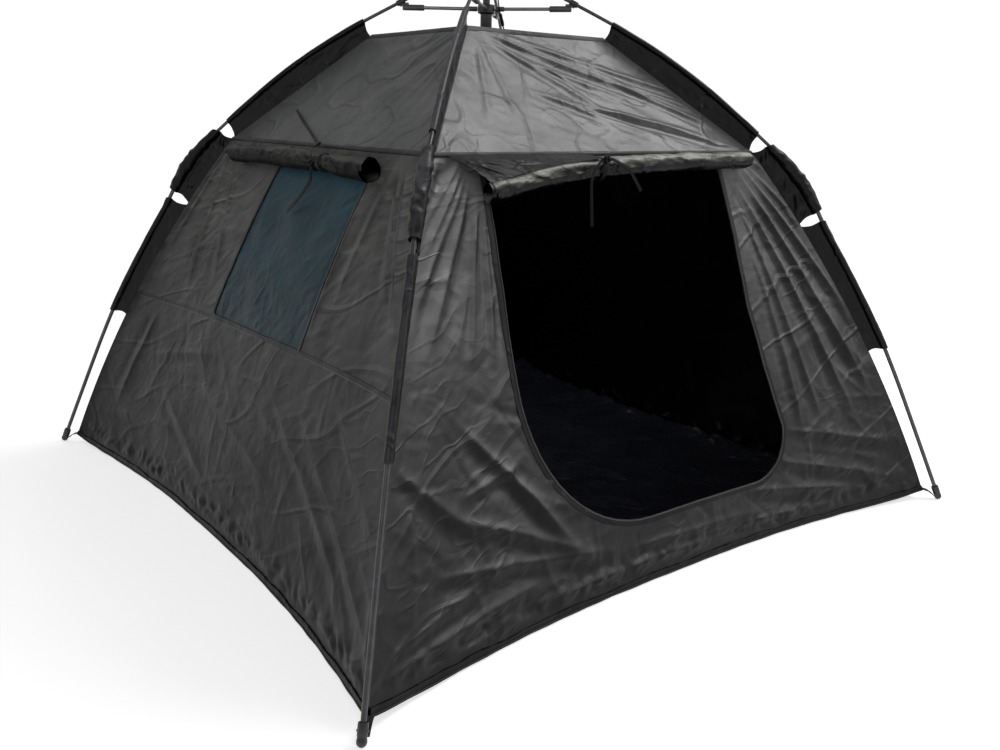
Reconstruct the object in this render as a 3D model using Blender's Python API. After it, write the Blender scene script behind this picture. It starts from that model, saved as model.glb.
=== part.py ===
# Automatic umbrella tent, pitched: a square body hung under four sprung poles.
# Metres, +Z up, origin on the ground under the hub. Door wall at -Y, window wall at -X.
import math
import bpy
import bmesh
from mathutils import Vector
from mathutils.geometry import delaunay_2d_cdt

for old in list(bpy.data.objects):
    bpy.data.objects.remove(old, do_unlink=True)

# Body of the tent: half sides at the corners and their heights.
FLOOR_HALF = 1.050
FLOOR_CORNER_Z = 0.030
SEAM_HALF = 0.591
SEAM_Z = 1.100
RIM_HALF = 0.2565
RIM_Z = 1.425
CORNER_BOW = 17.0
HEM_IN_FRONT = 0.115
HEM_IN_SIDE = 0.095
SEAM_IN = 0.012
CLOTH = 0.004
GAP = 0.0003

# Door and window cut in the walls, in plan offset and height.
DOOR_LEFT_EDGE = [(-0.452, 1.058), (-0.480, 0.847), (-0.495, 0.700), (-0.497, 0.172)]
DOOR_RIGHT_EDGE = [(0.412, 1.058), (0.394, 0.800), (0.394, 0.660), (0.428, 0.470), (0.470, 0.316), (0.494, 0.172)]
DOOR_LEFT_CORNER = 0.400
DOOR_RIGHT_CORNER = 0.140
WIN_LEFT_TOP = -0.175
WIN_LEFT_LOW = -0.290
WIN_RIGHT_TOP = 0.338
WIN_RIGHT_LOW = 0.280
WIN_TOP = 1.045
WIN_SILL = 0.585
WIN_CORNER = 0.012

# Poles, hub and struts.
POLE_UP_R = 0.0050
POLE_LOW_R = 0.0062
SOCKET_R = 0.0095
SOCKET_LEN = 0.064
TEE_R = 0.0085
TEE_LEN = 0.026
PLUG_R = 0.0088
PLUG_LEN = 0.068
TEE_HALF = 0.190
STRUT_Z = 1.506
STRUT_R = 0.0050
HUB_Z = 1.612
HUB_TOP = 1.650
HUB_R = 0.030
POST_R = 0.0110
POST_LOW = 1.402
SLIDER_R = 0.0178
SLIDER_LOW = 1.414
FOOT_R = 0.0110
FOOT_HALF = 1.087

# Rolls of the door flap and the window cover.
ROLL_R = 0.0320
DOOR_ROLL = [(-0.484, 1.012), (-0.280, 1.046), (-0.100, 1.0625), (0.220, 1.074), (0.515, 1.078)]
WINDOW_ROLL = [(-0.457, 1.056), (-0.200, 1.062), (0.140, 1.0585), (0.391, 1.052)]
# Knots on the ties, and their loose tails as distance along the side, outwards and up.
KNOT_R = 0.0070
KNOT_HALF = 0.0110
DOOR_KNOT_ANGLE = 38.0
TAIL_HALF_WIDTH = 0.0045
TAIL_HALF_THICK = 0.0006
DOOR_TAIL_LONG = [(-0.128, 0.675, 1.084), (-0.150, 0.681, 1.066), (-0.162, 0.680, 1.038),
                  (-0.158, 0.678, 0.987), (-0.150, 0.676, 0.917)]
DOOR_TAIL_SHORT = [(-0.072, 0.677, 1.083), (-0.035, 0.684, 1.062), (-0.004, 0.681, 1.033),
                   (0.024, 0.676, 1.004)]
WINDOW_TAIL_LOW = [(0.141, 0.682, 1.030), (0.134, 0.681, 1.010), (0.102, 0.681, 0.987),
                   (0.067, 0.681, 0.962), (0.024, 0.681, 0.937), (-0.014, 0.681, 0.917)]
WINDOW_TAIL_HIGH = [(0.138, 0.680, 1.080), (0.130, 0.668, 1.096), (0.115, 0.645, 1.106),
                    (0.080, 0.620, 1.106), (0.0228, 0.599, 1.106), (-0.112, 0.553, 1.135),
                    (-0.228, 0.520, 1.168), (-0.308, 0.496, 1.194)]

# Pole shape in the corner plane, half side and height, hub to foot.
POLE_KEYS = [
    (0.0228, 1.622), (0.105, 1.578), (0.190, 1.524), (0.297, 1.449),
    (0.395, 1.370), (0.480, 1.288), (0.552, 1.208), (0.612, 1.138),
    (0.664, 1.074), (0.704, 1.012), (0.738, 0.940), (0.770, 0.862),
    (0.812, 0.770), (0.862, 0.655), (0.913, 0.530), (0.956, 0.410),
    (0.996, 0.290), (1.032, 0.180), (1.063, 0.085), (FOOT_HALF, FOOT_R)]
KNEE_Z = 1.050
ROWS = [0.0, 0.1, 0.2, 0.3, 0.405, 0.5, 0.59, 0.685, 0.777, 0.85, 0.925, 1.0]
COLS = [0.0, 0.2, 0.4, 0.6, 0.74, 0.84, 0.92, 1.0]
CORNERS = {"near": (-1, -1), "right": (1, -1), "left": (-1, 1), "far": (1, 1)}


# Material with plain settings.
def material(name, color, rough, metal=0.0, alpha=1.0):
    mat = bpy.data.materials.new(name)
    mat.use_nodes = True
    mat.diffuse_color = (color[0], color[1], color[2], 1.0)
    shader = mat.node_tree.nodes["Principled BSDF"]
    shader.inputs["Base Color"].default_value = (color[0], color[1], color[2], 1.0)
    shader.inputs["Roughness"].default_value = rough
    shader.inputs["Metallic"].default_value = metal
    shader.inputs["Alpha"].default_value = alpha
    return mat


SHELL = material("shell_fabric", (0.045, 0.047, 0.052), 0.42)
SLEEVE = material("sleeve_fabric", (0.012, 0.013, 0.018), 0.80)
GROUND = material("groundsheet", (0.020, 0.021, 0.024), 0.38)
MESH = material("window_mesh", (0.030, 0.055, 0.075), 0.45)
LINING = material("roll_fabric", (0.120, 0.120, 0.110), 0.34)
METAL = material("pole_metal", (0.300, 0.305, 0.315), 0.32, 1.0)
PLASTIC = material("black_plastic", (0.018, 0.018, 0.020), 0.45)
WEBBING = material("webbing", (0.030, 0.030, 0.032), 0.75)


# Turn vertices and faces into one object with outward faces.
def make(name, verts, faces, mat):
    mesh = bpy.data.meshes.new(name)
    mesh.from_pydata([tuple(v) for v in verts], [], faces)
    bm = bmesh.new()
    bm.from_mesh(mesh)
    bmesh.ops.remove_doubles(bm, verts=bm.verts, dist=1e-7)
    bmesh.ops.recalc_face_normals(bm, faces=bm.faces)
    bm.to_mesh(mesh)
    bm.free()
    mesh.update()
    obj = bpy.data.objects.new(name, mesh)
    bpy.context.scene.collection.objects.link(obj)
    mesh.materials.append(mat)
    return obj


# Corner line of the body: half side and height for w from floor to seam.
def corner(w):
    a = Vector((FLOOR_HALF * math.sqrt(2), FLOOR_CORNER_Z))
    b = Vector((SEAM_HALF * math.sqrt(2), SEAM_Z))
    chord = b - a
    bow = math.radians(CORNER_BOW)
    radius = chord.length / 2 / math.sin(bow / 2)
    side = Vector((chord.y, -chord.x)).normalized()
    centre = (a + b) / 2 - side * radius * math.cos(bow / 2)
    start = math.atan2(a.y - centre.y, a.x - centre.x)
    ang = start + bow * w
    d = centre.x + radius * math.cos(ang)
    z = centre.y + radius * math.sin(ang)
    return d / math.sqrt(2), z


# Point of a wall in its own plan: along, outward, height.
def wall_point(s, w, hem, depth=0.0):
    rc, zc = corner(w)
    inset = SEAM_IN + (hem - SEAM_IN) * max(0.0, 1.0 - w) ** 1.3
    out = rc - inset * (1.0 - abs(s) ** 2.6) - depth
    along = s * (rc - depth - GAP)
    lift = 0.004 + 0.026 * abs(s) ** 8
    return along, out, zc + (lift - FLOOR_CORNER_Z) * (1.0 - w) ** 2


# Wall coordinates of a plan offset and height.
def wall_coords(along, z, hem):
    low = 0.0
    high = 1.0
    s = 0.0
    for _ in range(40):
        w = (low + high) / 2
        rc = corner(w)[0]
        s = along / (rc - GAP)
        if wall_point(s, w, hem)[2] < z:
            low = w
        else:
            high = w
    return s, (low + high) / 2


# Put a wall's own plan on its side of the tent.
def place(side, along, out, z):
    if side == "front":
        return Vector((along, -out, z))
    if side == "back":
        return Vector((-along, out, z))
    if side == "left":
        return Vector((-out, -along, z))
    return Vector((out, along, z))


# Closed shell from a flat triangulation and two surfaces.
def shell(name, points, tris, top, under, mat):
    count = len(points)
    verts = [top(p) for p in points] + [under(p) for p in points]
    faces = [tuple(t) for t in tris]
    faces += [tuple(i + count for i in reversed(t)) for t in tris]
    edges = {}
    for t in tris:
        for i in range(len(t)):
            a = t[i]
            b = t[(i + 1) % len(t)]
            key = (min(a, b), max(a, b))
            edges.setdefault(key, []).append((a, b))
    for uses in edges.values():
        if len(uses) == 1:
            a, b = uses[0]
            faces.append((b, a, a + count, b + count))
    return make(name, verts, faces, mat)


def columns():
    return [-c for c in reversed(COLS[1:])] + COLS


# Rounded opening outline, wide side up, as plan offset and height.
# Offset of an opening's edge at a height, from its points given top to sill.
def edge_offset(edge, z):
    for i in range(len(edge) - 1):
        (x1, z1), (x2, z2) = edge[i], edge[i + 1]
        if z >= z2:
            return x1 + (x2 - x1) * (z1 - z) / (z1 - z2)
    return edge[-1][0]


# Opening with two edges given by their points and a rounded corner at each end of its sill.
def opening_outline(left, right, left_corner, right_corner):
    steps = 5
    sill = right[-1][1]
    z_right = sill + right_corner
    z_left = sill + left_corner
    x_right = edge_offset(right, z_right)
    x_left = edge_offset(left, z_left)
    pts = [left[0]] + [p for p in right if p[1] > z_right + 0.02]
    for k in range(steps + 1):
        ang = math.pi / 2 * k / steps
        pts.append((x_right - right_corner * (1 - math.cos(ang)), z_right - right_corner * math.sin(ang)))
    for k in range(steps + 1):
        ang = math.pi / 2 * k / steps
        pts.append((x_left + left_corner * (1 - math.sin(ang)), z_left - left_corner * math.cos(ang)))
    pts += [p for p in reversed(left[1:]) if p[1] > z_left + 0.02]
    fine = []
    for i in range(len(pts)):
        a = Vector(pts[i])
        b = Vector(pts[(i + 1) % len(pts)])
        parts = max(1, math.ceil((b - a).length / 0.14))
        fine += [tuple(a.lerp(b, k / parts)) for k in range(parts)]
    return fine


def inside(x, y, poly):
    hit = False
    n = len(poly)
    for i in range(n):
        x1, y1 = poly[i]
        x2, y2 = poly[(i + 1) % n]
        if (y1 > y) != (y2 > y):
            if x < (x2 - x1) * (y - y1) / (y2 - y1) + x1:
                hit = not hit
    return hit


# Triangles of a rectangle of wall coordinates with one opening left out.
def cut_wall(hole):
    cols = columns()
    border = [(s, 0.0) for s in cols]
    border += [(1.0, w) for w in ROWS[1:]]
    border += [(s, 1.0) for s in reversed(cols[:-1])]
    border += [(-1.0, w) for w in reversed(ROWS[1:-1])]
    points = [Vector(p) for p in border]
    ring = list(range(len(border)))
    start = len(points)
    points += [Vector(p) for p in hole]
    hole_ring = list(range(start, len(points)))
    for s in cols[1:-1]:
        for w in ROWS[1:-1]:
            near = min((Vector((s, w)) - Vector(h)).length for h in hole)
            if near > 0.05 and not inside(s, w, hole):
                points.append(Vector((s, w)))
    edges = []
    for loop in (ring, hole_ring):
        edges += [(loop[i], loop[(i + 1) % len(loop)]) for i in range(len(loop))]
    out = delaunay_2d_cdt(points, edges, [], 0, 1e-6)
    verts = [tuple(v) for v in out[0]]
    tris = []
    for t in out[2]:
        cx = sum(verts[i][0] for i in t) / 3
        cy = sum(verts[i][1] for i in t) / 3
        if not inside(cx, cy, hole):
            tris.append(tuple(t))
    return verts, tris


# Triangles inside an opening, for a panel that fills it.
def fill_opening(hole):
    points = [Vector(p) for p in hole]
    edges = [(i, (i + 1) % len(hole)) for i in range(len(hole))]
    for s in columns():
        for w in ROWS:
            near = min((Vector((s, w)) - Vector(h)).length for h in hole)
            if near > 0.03 and inside(s, w, hole):
                points.append(Vector((s, w)))
    out = delaunay_2d_cdt(points, edges, [], 0, 1e-6)
    verts = [tuple(v) for v in out[0]]
    tris = []
    for t in out[2]:
        cx = sum(verts[i][0] for i in t) / 3
        cy = sum(verts[i][1] for i in t) / 3
        if inside(cx, cy, hole):
            tris.append(tuple(t))
    return verts, tris


# Quads of a rectangular grid of points.
def grid_cells(us, vs):
    points = [(u, v) for v in vs for u in us]
    n = len(us)
    cells = []
    for j in range(len(vs) - 1):
        for i in range(n - 1):
            a = j * n + i
            cells.append((a, a + 1, a + n + 1, a + n))
    return points, cells


def wall(name, side, hem, hole=None):
    if hole:
        points, tris = cut_wall([wall_coords(x, z, hem) for x, z in hole])
    else:
        points, tris = grid_cells(columns(), ROWS)

    def top(p):
        return place(side, *wall_point(p[0], p[1], hem))

    def under(p):
        return place(side, *wall_point(p[0], p[1], hem, CLOTH))

    return shell(name, points, tris, top, under, SHELL)


def door_outline():
    return opening_outline(DOOR_LEFT_EDGE, DOOR_RIGHT_EDGE, DOOR_LEFT_CORNER, DOOR_RIGHT_CORNER)


# The window sits in the left wall, where plan offset is minus Y.
def window_outline(inset=0.0):
    top = WIN_TOP - inset
    sill = WIN_SILL + inset
    left = [(WIN_LEFT_TOP + inset, top), (WIN_LEFT_LOW + inset, sill)]
    right = [(WIN_RIGHT_TOP - inset, top), (WIN_RIGHT_LOW - inset, sill)]
    return opening_outline(left, right, WIN_CORNER, WIN_CORNER)


def window_panel():
    hole = [wall_coords(x, z, HEM_IN_SIDE) for x, z in window_outline(0.0004)]
    points, tris = fill_opening(hole)

    def top(p):
        return place("left", *wall_point(p[0], p[1], HEM_IN_SIDE, 0.0010))

    def under(p):
        return place("left", *wall_point(p[0], p[1], HEM_IN_SIDE, 0.0030))

    return shell("window_mesh", points, tris, top, under, MESH)


# Roof corner line from seam to rim.
def roof_corner(v):
    half = SEAM_HALF + (RIM_HALF - SEAM_HALF) * v
    z = SEAM_Z + GAP + (RIM_Z - SEAM_Z) * v
    return half, z


# One sewn ring of four panels with open rim and open eave.
def roof():
    levels = [0.0, 0.2, 0.4, 0.6, 0.8, 1.0]
    cols = columns()[:-1]
    verts = []
    for depth in (0.0, CLOTH):
        for v in levels:
            half, z = roof_corner(v)
            sag = SEAM_IN * (1.0 - v) + 0.004 * v + 0.05 * v * (1.0 - v)
            for side in ("front", "right", "back", "left"):
                for s in cols:
                    out = half - sag * (1.0 - s * s) - depth
                    verts.append(place(side, s * (half - depth), out, z))
    ring = len(cols) * 4
    layer = ring * len(levels)
    faces = []
    for j in range(len(levels) - 1):
        for i in range(ring):
            a = j * ring + i
            b = j * ring + (i + 1) % ring
            faces.append((a, b, b + ring, a + ring))
            faces.append((a + layer, a + ring + layer, b + ring + layer, b + layer))
    for j in (0, len(levels) - 1):
        for i in range(ring):
            a = j * ring + i
            b = j * ring + (i + 1) % ring
            faces.append((a, a + layer, b + layer, b))
    return make("roof", verts, faces, SHELL)


# Vent panel that closes the square rim and sags between its edges.
def top_vent():
    half = RIM_HALF - CLOTH - 0.0006
    steps = [-1.0, -0.75, -0.5, -0.25, 0.0, 0.25, 0.5, 0.75, 1.0]
    points, cells = grid_cells(steps, steps)

    def height(p):
        return RIM_Z - 0.0005 - 0.042 * (1.0 - p[0] ** 2) * (1.0 - p[1] ** 2)

    def bow(p):
        x = p[0] * (half - 0.004 * (1.0 - p[1] ** 2))
        y = p[1] * (half - 0.004 * (1.0 - p[0] ** 2))
        return x, y

    def top(p):
        return Vector((*bow(p), height(p)))

    def under(p):
        return Vector((*bow(p), height(p) - 0.003))

    return shell("top_mesh", points, cells, top, under, MESH)


# Groundsheet to the hem, flat in the middle and lifted at the four corners.
def groundsheet():
    points, cells = grid_cells(columns(), columns())

    def spot(p, z):
        s, t = p
        x = s * (FLOOR_HALF - HEM_IN_SIDE * (1.0 - abs(t) ** 2.6))
        y = t * (FLOOR_HALF - HEM_IN_FRONT * (1.0 - abs(s) ** 2.6))
        lift = 0.026 * abs(s) ** 8 * abs(t) ** 8
        if lift < 0.0002:
            lift = 0.0
        return Vector((x, y, z + lift))

    def top(p):
        return spot(p, 0.0036)

    def under(p):
        return spot(p, 0.0)

    return shell("floor", points, cells, top, under, GROUND)


# Smooth pole line through the keys, as half side and height.
def pole_line(t):
    n = len(POLE_KEYS) - 1
    i = min(int(t), n - 1)
    f = t - i
    p0 = POLE_KEYS[max(i - 1, 0)]
    p1 = POLE_KEYS[i]
    p2 = POLE_KEYS[i + 1]
    p3 = POLE_KEYS[min(i + 2, n)]
    out = []
    for k in range(2):
        m1 = (p2[k] - p0[k]) / 2
        m2 = (p3[k] - p1[k]) / 2
        h = (2 * f ** 3 - 3 * f ** 2 + 1) * p1[k] + (f ** 3 - 2 * f ** 2 + f) * m1
        h += (-2 * f ** 3 + 3 * f ** 2) * p2[k] + (f ** 3 - f ** 2) * m2
        out.append(h)
    return out[0], out[1]


# Pole parameter at a height.
def pole_at(z):
    low = 0.0
    high = float(len(POLE_KEYS) - 1)
    for _ in range(40):
        mid = (low + high) / 2
        if pole_line(mid)[1] > z:
            low = mid
        else:
            high = mid
    return (low + high) / 2


# Point of the corner plane in space.
def lift_point(sign, half, z):
    return Vector((sign[0] * half, sign[1] * half, z))


# Round bar along a path with a radius at each point.
def bar(name, path, radii, mat, sides=10):
    n = len(path)
    verts = []
    faces = []
    prev = None
    for i in range(n):
        a = path[max(i - 1, 0)]
        b = path[min(i + 1, n - 1)]
        tan = (b - a).normalized()
        if prev is None:
            ref = Vector((0, 0, 1)) if abs(tan.z) < 0.9 else Vector((1, 0, 0))
            nor = tan.cross(ref).normalized()
        else:
            nor = (prev - tan * prev.dot(tan)).normalized()
        prev = nor
        bin_ = tan.cross(nor)
        for k in range(sides):
            ang = 2 * math.pi * k / sides
            verts.append(path[i] + (nor * math.cos(ang) + bin_ * math.sin(ang)) * radii[i])
    for i in range(n - 1):
        for k in range(sides):
            a = i * sides + k
            b = i * sides + (k + 1) % sides
            faces.append((a, b, b + sides, a + sides))
    faces.append(tuple(range(sides)))
    faces.append(tuple((n - 1) * sides + k for k in reversed(range(sides))))
    return make(name, verts, faces, mat)


# Turned solid: profile of radius and height about an axis.
def lathe(name, profile, origin, axis, mat, sides=16, ring=False):
    axis = Vector(axis).normalized()
    ref = Vector((1, 0, 0)) if abs(axis.x) < 0.9 else Vector((0, 1, 0))
    u = axis.cross(ref).normalized()
    v = axis.cross(u)
    verts = []
    rows = []
    for r, h in profile:
        row = []
        if r < 1e-6:
            verts.append(Vector(origin) + axis * h)
            row = [len(verts) - 1] * sides
        else:
            for k in range(sides):
                ang = 2 * math.pi * k / sides
                verts.append(Vector(origin) + axis * h + (u * math.cos(ang) + v * math.sin(ang)) * r)
                row.append(len(verts) - 1)
        rows.append(row)
    if ring:
        rows.append(rows[0])
    faces = []
    for a, b in zip(rows[:-1], rows[1:]):
        for k in range(sides):
            quad = [a[k], a[(k + 1) % sides], b[(k + 1) % sides], b[k]]
            face = []
            for i in quad:
                if i not in face:
                    face.append(i)
            if len(face) > 2:
                faces.append(tuple(face))
    return make(name, verts, faces, mat)


# Upper pole from the hub to the knee, with the strut's collar as a thicker stretch.
def upper_pole(tag, sign):
    t_tee = 2.0
    t_end = pole_at(KNEE_Z + GAP + 0.0006)
    path = []
    radii = []
    start = lift_point(sign, *pole_line(0.0))
    path.append(start)
    radii.append(POLE_UP_R)
    mid = lift_point(sign, *pole_line(t_tee))
    along = (lift_point(sign, *pole_line(2.2)) - lift_point(sign, *pole_line(1.8))).normalized()
    half = TEE_LEN / 2
    for t in (0.5, 1.0, 1.5):
        path.append(lift_point(sign, *pole_line(t)))
        radii.append(POLE_UP_R)
    for off, rad in ((-half, POLE_UP_R), (-half + 0.0005, TEE_R), (half - 0.0005, TEE_R), (half, POLE_UP_R)):
        path.append(mid + along * off)
        radii.append(rad)
    t = 2.5
    while t < t_end - 0.2:
        path.append(lift_point(sign, *pole_line(t)))
        radii.append(POLE_UP_R)
        t += 0.5
    path.append(lift_point(sign, *pole_line(t_end)))
    radii.append(POLE_UP_R)
    return bar("upper_pole_" + tag, path, radii, METAL)


# Lower pole from the knee socket to the foot cup.
def lower_pole(tag, sign):
    t0 = pole_at(KNEE_Z)
    t = math.floor(t0) + 0.5
    first = lift_point(sign, *pole_line(t0))
    nxt = lift_point(sign, *pole_line(t0 + 0.5))
    along = (nxt - first).normalized()
    path = [first, first + along * (SOCKET_LEN - 0.0005), first + along * SOCKET_LEN]
    radii = [SOCKET_R, SOCKET_R, POLE_LOW_R]
    last = len(POLE_KEYS) - 1
    while t < last:
        here = lift_point(sign, *pole_line(t))
        if (here - first).length > SOCKET_LEN + 0.02:
            path.append(here)
            radii.append(POLE_LOW_R)
        t += 0.5
    end = lift_point(sign, *pole_line(float(last)))
    tan = (end - path[-1]).normalized()
    path.append(end - tan * 0.004)
    radii.append(POLE_LOW_R)
    return bar("lower_pole_" + tag, path, radii, METAL)


# Cup that carries the pole end and stands on the ground.
def foot(tag, sign):
    last = len(POLE_KEYS) - 1
    end = lift_point(sign, *pole_line(float(last)))
    up = (lift_point(sign, *pole_line(last - 1.0)) - end).normalized()
    profile = [(0.0, -FOOT_R)]
    for ang in (30, 60, 90):
        a = math.radians(ang)
        profile.append((FOOT_R * math.sin(a), -FOOT_R * math.cos(a)))
    hole = POLE_LOW_R + 0.0004
    profile += [(FOOT_R, 0.038), (hole, 0.038), (hole, 0.0035), (0.0, 0.0035)]
    return lathe("foot_" + tag, profile, end, up, PLASTIC, 12)


# Webbing from the body's corner to the foot.
def corner_strap(tag, sign):
    side = Vector((-sign[1], sign[0], 0)).normalized()
    half = 0.0125
    keys = [(FLOOR_HALF + 0.0012, 0.0325), (1.0610, 0.0290), (1.0700, 0.0210), (1.0768, 0.0130)]
    path = [lift_point(sign, *k) for k in keys]
    verts = []
    for i, p in enumerate(path):
        a = path[max(i - 1, 0)]
        b = path[min(i + 1, len(path) - 1)]
        nor = (b - a).normalized().cross(side).normalized() * 0.0010
        verts += [p + side * half + nor, p - side * half + nor, p - side * half - nor, p + side * half - nor]
    faces = [(0, 1, 2, 3)]
    for i in range(len(path) - 1):
        for k in range(4):
            a = i * 4 + k
            b = i * 4 + (k + 1) % 4
            faces.append((a, b, b + 4, a + 4))
    end = 4 * (len(path) - 1)
    faces.append((end + 3, end + 2, end + 1, end))
    return make("corner_strap_" + tag, verts, faces, WEBBING)


# Strut from the slider collar to the underside of the tee on its pole.
def strut(tag, sign):
    a = lift_point(sign, 0.0189, STRUT_Z)
    b = lift_point(sign, TEE_HALF - 0.0045, STRUT_Z + 0.0024)
    along = (b - a).normalized()
    plug = b - along * PLUG_LEN
    path = [a, a + along * 0.028, a + along * 0.0285, plug - along * 0.0005, plug, b]
    radii = [0.0072, 0.0072, STRUT_R, STRUT_R, PLUG_R, PLUG_R]
    return bar("strut_" + tag, path, radii, METAL, 10)


# Fabric sleeve: a tube round the pole with a web to the body's corner line.
def sleeve(name, sign, outer, inner, tube_r, bore_r, web=0.0015):
    side = Vector((-sign[1], sign[0], 0)).normalized()
    fan = [25, 60, 95, 130, 160]
    verts = []
    count = 0
    for i in range(len(outer)):
        p = lift_point(sign, *outer[i])
        q = lift_point(sign, *inner[i])
        a = lift_point(sign, *outer[max(i - 1, 0)])
        b = lift_point(sign, *outer[min(i + 1, len(outer) - 1)])
        tan = (b - a).normalized()
        e = (q - p).normalized()
        stretch = 1.0 / max(0.5, math.sqrt(1.0 - e.dot(tan) ** 2))
        reach = (q - p).length
        big = tube_r[i]
        rim = [(reach, web), (big * 0.95 * stretch, web)]
        rim += [(big * math.cos(math.radians(g)) * stretch, big * math.sin(math.radians(g))) for g in fan]
        hole = []
        for g in [6, 15] + fan:
            hole.append((bore_r * math.cos(math.radians(g)) * stretch, bore_r * math.sin(math.radians(g))))
        rim += [(x, -y) for x, y in reversed(rim)]
        hole += [(x, -y) for x, y in reversed(hole)]
        count = len(rim)
        verts += [p + e * x + side * y for x, y in rim]
        verts += [p + e * x + side * y for x, y in hole]
    faces = []
    step = 2 * count
    for i in range(len(outer) - 1):
        for k in range(count):
            a = i * step + k
            b = i * step + (k + 1) % count
            faces.append((a, b, b + step, a + step))
            a += count
            b += count
            faces.append((a, a + step, b + step, b))
    for base in (0, (len(outer) - 1) * step):
        for k in range(count):
            a = base + k
            b = base + (k + 1) % count
            faces.append((a, a + count, b + count, b))
    return make(name, verts, faces, SLEEVE)


def mix(a, b, f):
    return a + (b - a) * f


# Points of the pole between two heights.
def pole_span(z_top, z_low, n):
    out = []
    for i in range(n):
        t = mix(pole_at(z_top), pole_at(z_low), i / (n - 1))
        out.append(pole_line(t))
    return out


def upper_sleeve(tag, sign):
    n = 9
    outer = pole_span(1.466, 1.152, n)
    inner = []
    for i in range(n):
        half, z = roof_corner(mix(0.985, 0.004, i / (n - 1)))
        inner.append((half + 0.0007, z + 0.0004))
    return sleeve("upper_sleeve_" + tag, sign, outer, inner, [0.0085] * n, POLE_UP_R + 0.0012)


# Points just outside the body's corner line, with a midpoint in every span.
def corner_span(rows):
    keys = []
    for w in rows:
        half, z = corner(w)
        keys.append((half + 0.0007, z))
    out = [keys[0]]
    for p, q in zip(keys[:-1], keys[1:]):
        out.append(((p[0] + q[0]) / 2, (p[1] + q[1]) / 2))
        out.append(q)
    return out


def knee_cover(tag, sign):
    inner = corner_span([0.998, 0.925, 0.85, 0.779])
    outer = pole_span(1.120, 0.926, len(inner))
    girth = [0.0150, 0.0175, 0.0190, 0.0190, 0.0180, 0.0160, 0.0145]
    return sleeve("knee_cover_" + tag, sign, outer, inner, girth, SOCKET_R + 0.0024)


def lower_sleeve(tag, sign):
    inner = corner_span([0.775, 0.685, 0.59, 0.5, 0.405])
    outer = pole_span(0.896, 0.502, len(inner))
    girth = [0.0100] * len(inner)
    return sleeve("lower_sleeve_" + tag, sign, outer, inner, girth, POLE_LOW_R + 0.0012)


# Axis of a roll at one plan offset and height: the roll lies on the wall.
def roll_axis(side, hem, along, z):
    high = wall_point(*wall_coords(along, 1.090, hem), hem)
    low = wall_point(*wall_coords(along, 1.000, hem), hem)
    slope = (low[1] - high[1]) / (high[2] - low[2])
    here = wall_point(*wall_coords(along, min(z, 1.090), hem), hem)
    out = here[1] + ROLL_R * math.sqrt(1.0 + slope ** 2) + 0.0007
    return place(side, along, out, z)


# Rolled flap: a plump bar that lies on the wall just under the seam.
def roll(name, side, hem, keys, mat):
    path = [roll_axis(side, hem, *keys[0])]
    for a, b in zip(keys[:-1], keys[1:]):
        for k in (1, 2, 3):
            path.append(roll_axis(side, hem, mix(a[0], b[0], k / 3), mix(a[1], b[1], k / 3)))
    return bar(name, path, [ROLL_R] * len(path), mat, 16)


# Tape tied round a roll at one of its keys.
def tie_band(name, side, hem, key):
    axis = roll_axis(side, hem, *key)
    inner = ROLL_R + 0.0010
    outer = ROLL_R + 0.0026
    angs = [math.radians(a) for a in range(-95, 136, 23)]
    verts = []
    for off in (-0.0045, 0.0045):
        for r in (inner, outer):
            for a in angs:
                step = place(side, off, r * math.cos(a), r * math.sin(a))
                verts.append(axis + step)
    n = len(angs)
    faces = []
    for i in range(n - 1):
        for a, b in ((0, n), (n, 3 * n), (3 * n, 2 * n), (2 * n, 0)):
            faces.append((a + i, a + i + 1, b + i + 1, b + i))
    faces.append((0, n, 3 * n, 2 * n))
    faces.append((3 * n - 1, 4 * n - 1, 2 * n - 1, n - 1))
    return make(name, verts, faces, WEBBING)


def centre_parts():
    lathe("top_hub", [(0.0, 0.006), (0.012, 0.006), (0.012, -0.0002), (HUB_R * 0.6, -0.0002),
                      (HUB_R, 0.004), (HUB_R, 0.022), (HUB_R * 0.75, 0.034), (0.010, 0.038),
                      (0.0, 0.038)][::-1],
          (0, 0, HUB_Z), (0, 0, 1), PLASTIC, 16)
    lathe("centre_post", [(0.0, POST_LOW), (POST_R, POST_LOW), (POST_R, HUB_Z + 0.0057), (0.0, HUB_Z + 0.0057)],
          (0, 0, 0), (0, 0, 1), METAL, 16)
    bore = POST_R + 0.0004
    collar = 0.0262
    lathe("slider", [(bore, SLIDER_LOW), (SLIDER_R, SLIDER_LOW), (SLIDER_R, STRUT_Z - 0.014),
                     (collar, STRUT_Z - 0.012), (collar, STRUT_Z + 0.012), (bore, STRUT_Z + 0.014)],
          (0, 0, 0), (0, 0, 1), PLASTIC, 16, True)


# Loose cord that hangs from the hub beside the post, with a grip knot.
def pull_cord():
    thin = 0.0020
    keys = [(HUB_Z + 0.0014, 0.026, thin), (1.560, 0.034, thin), (1.504, 0.043, thin)]
    keys += [(1.4925, 0.0462, thin), (1.4915, 0.0466, 0.0052), (1.4530, 0.0578, 0.0050)]
    keys += [(1.4520, 0.0582, thin), (1.4200, 0.0670, thin), (1.4000, 0.0740, thin)]
    c = math.cos(math.radians(-60))
    d = math.sin(math.radians(-60))
    path = [Vector((r * c, r * d, z)) for z, r, girth in keys]
    return bar("pull_cord", path, [k[2] for k in keys], WEBBING, 8)


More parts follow.
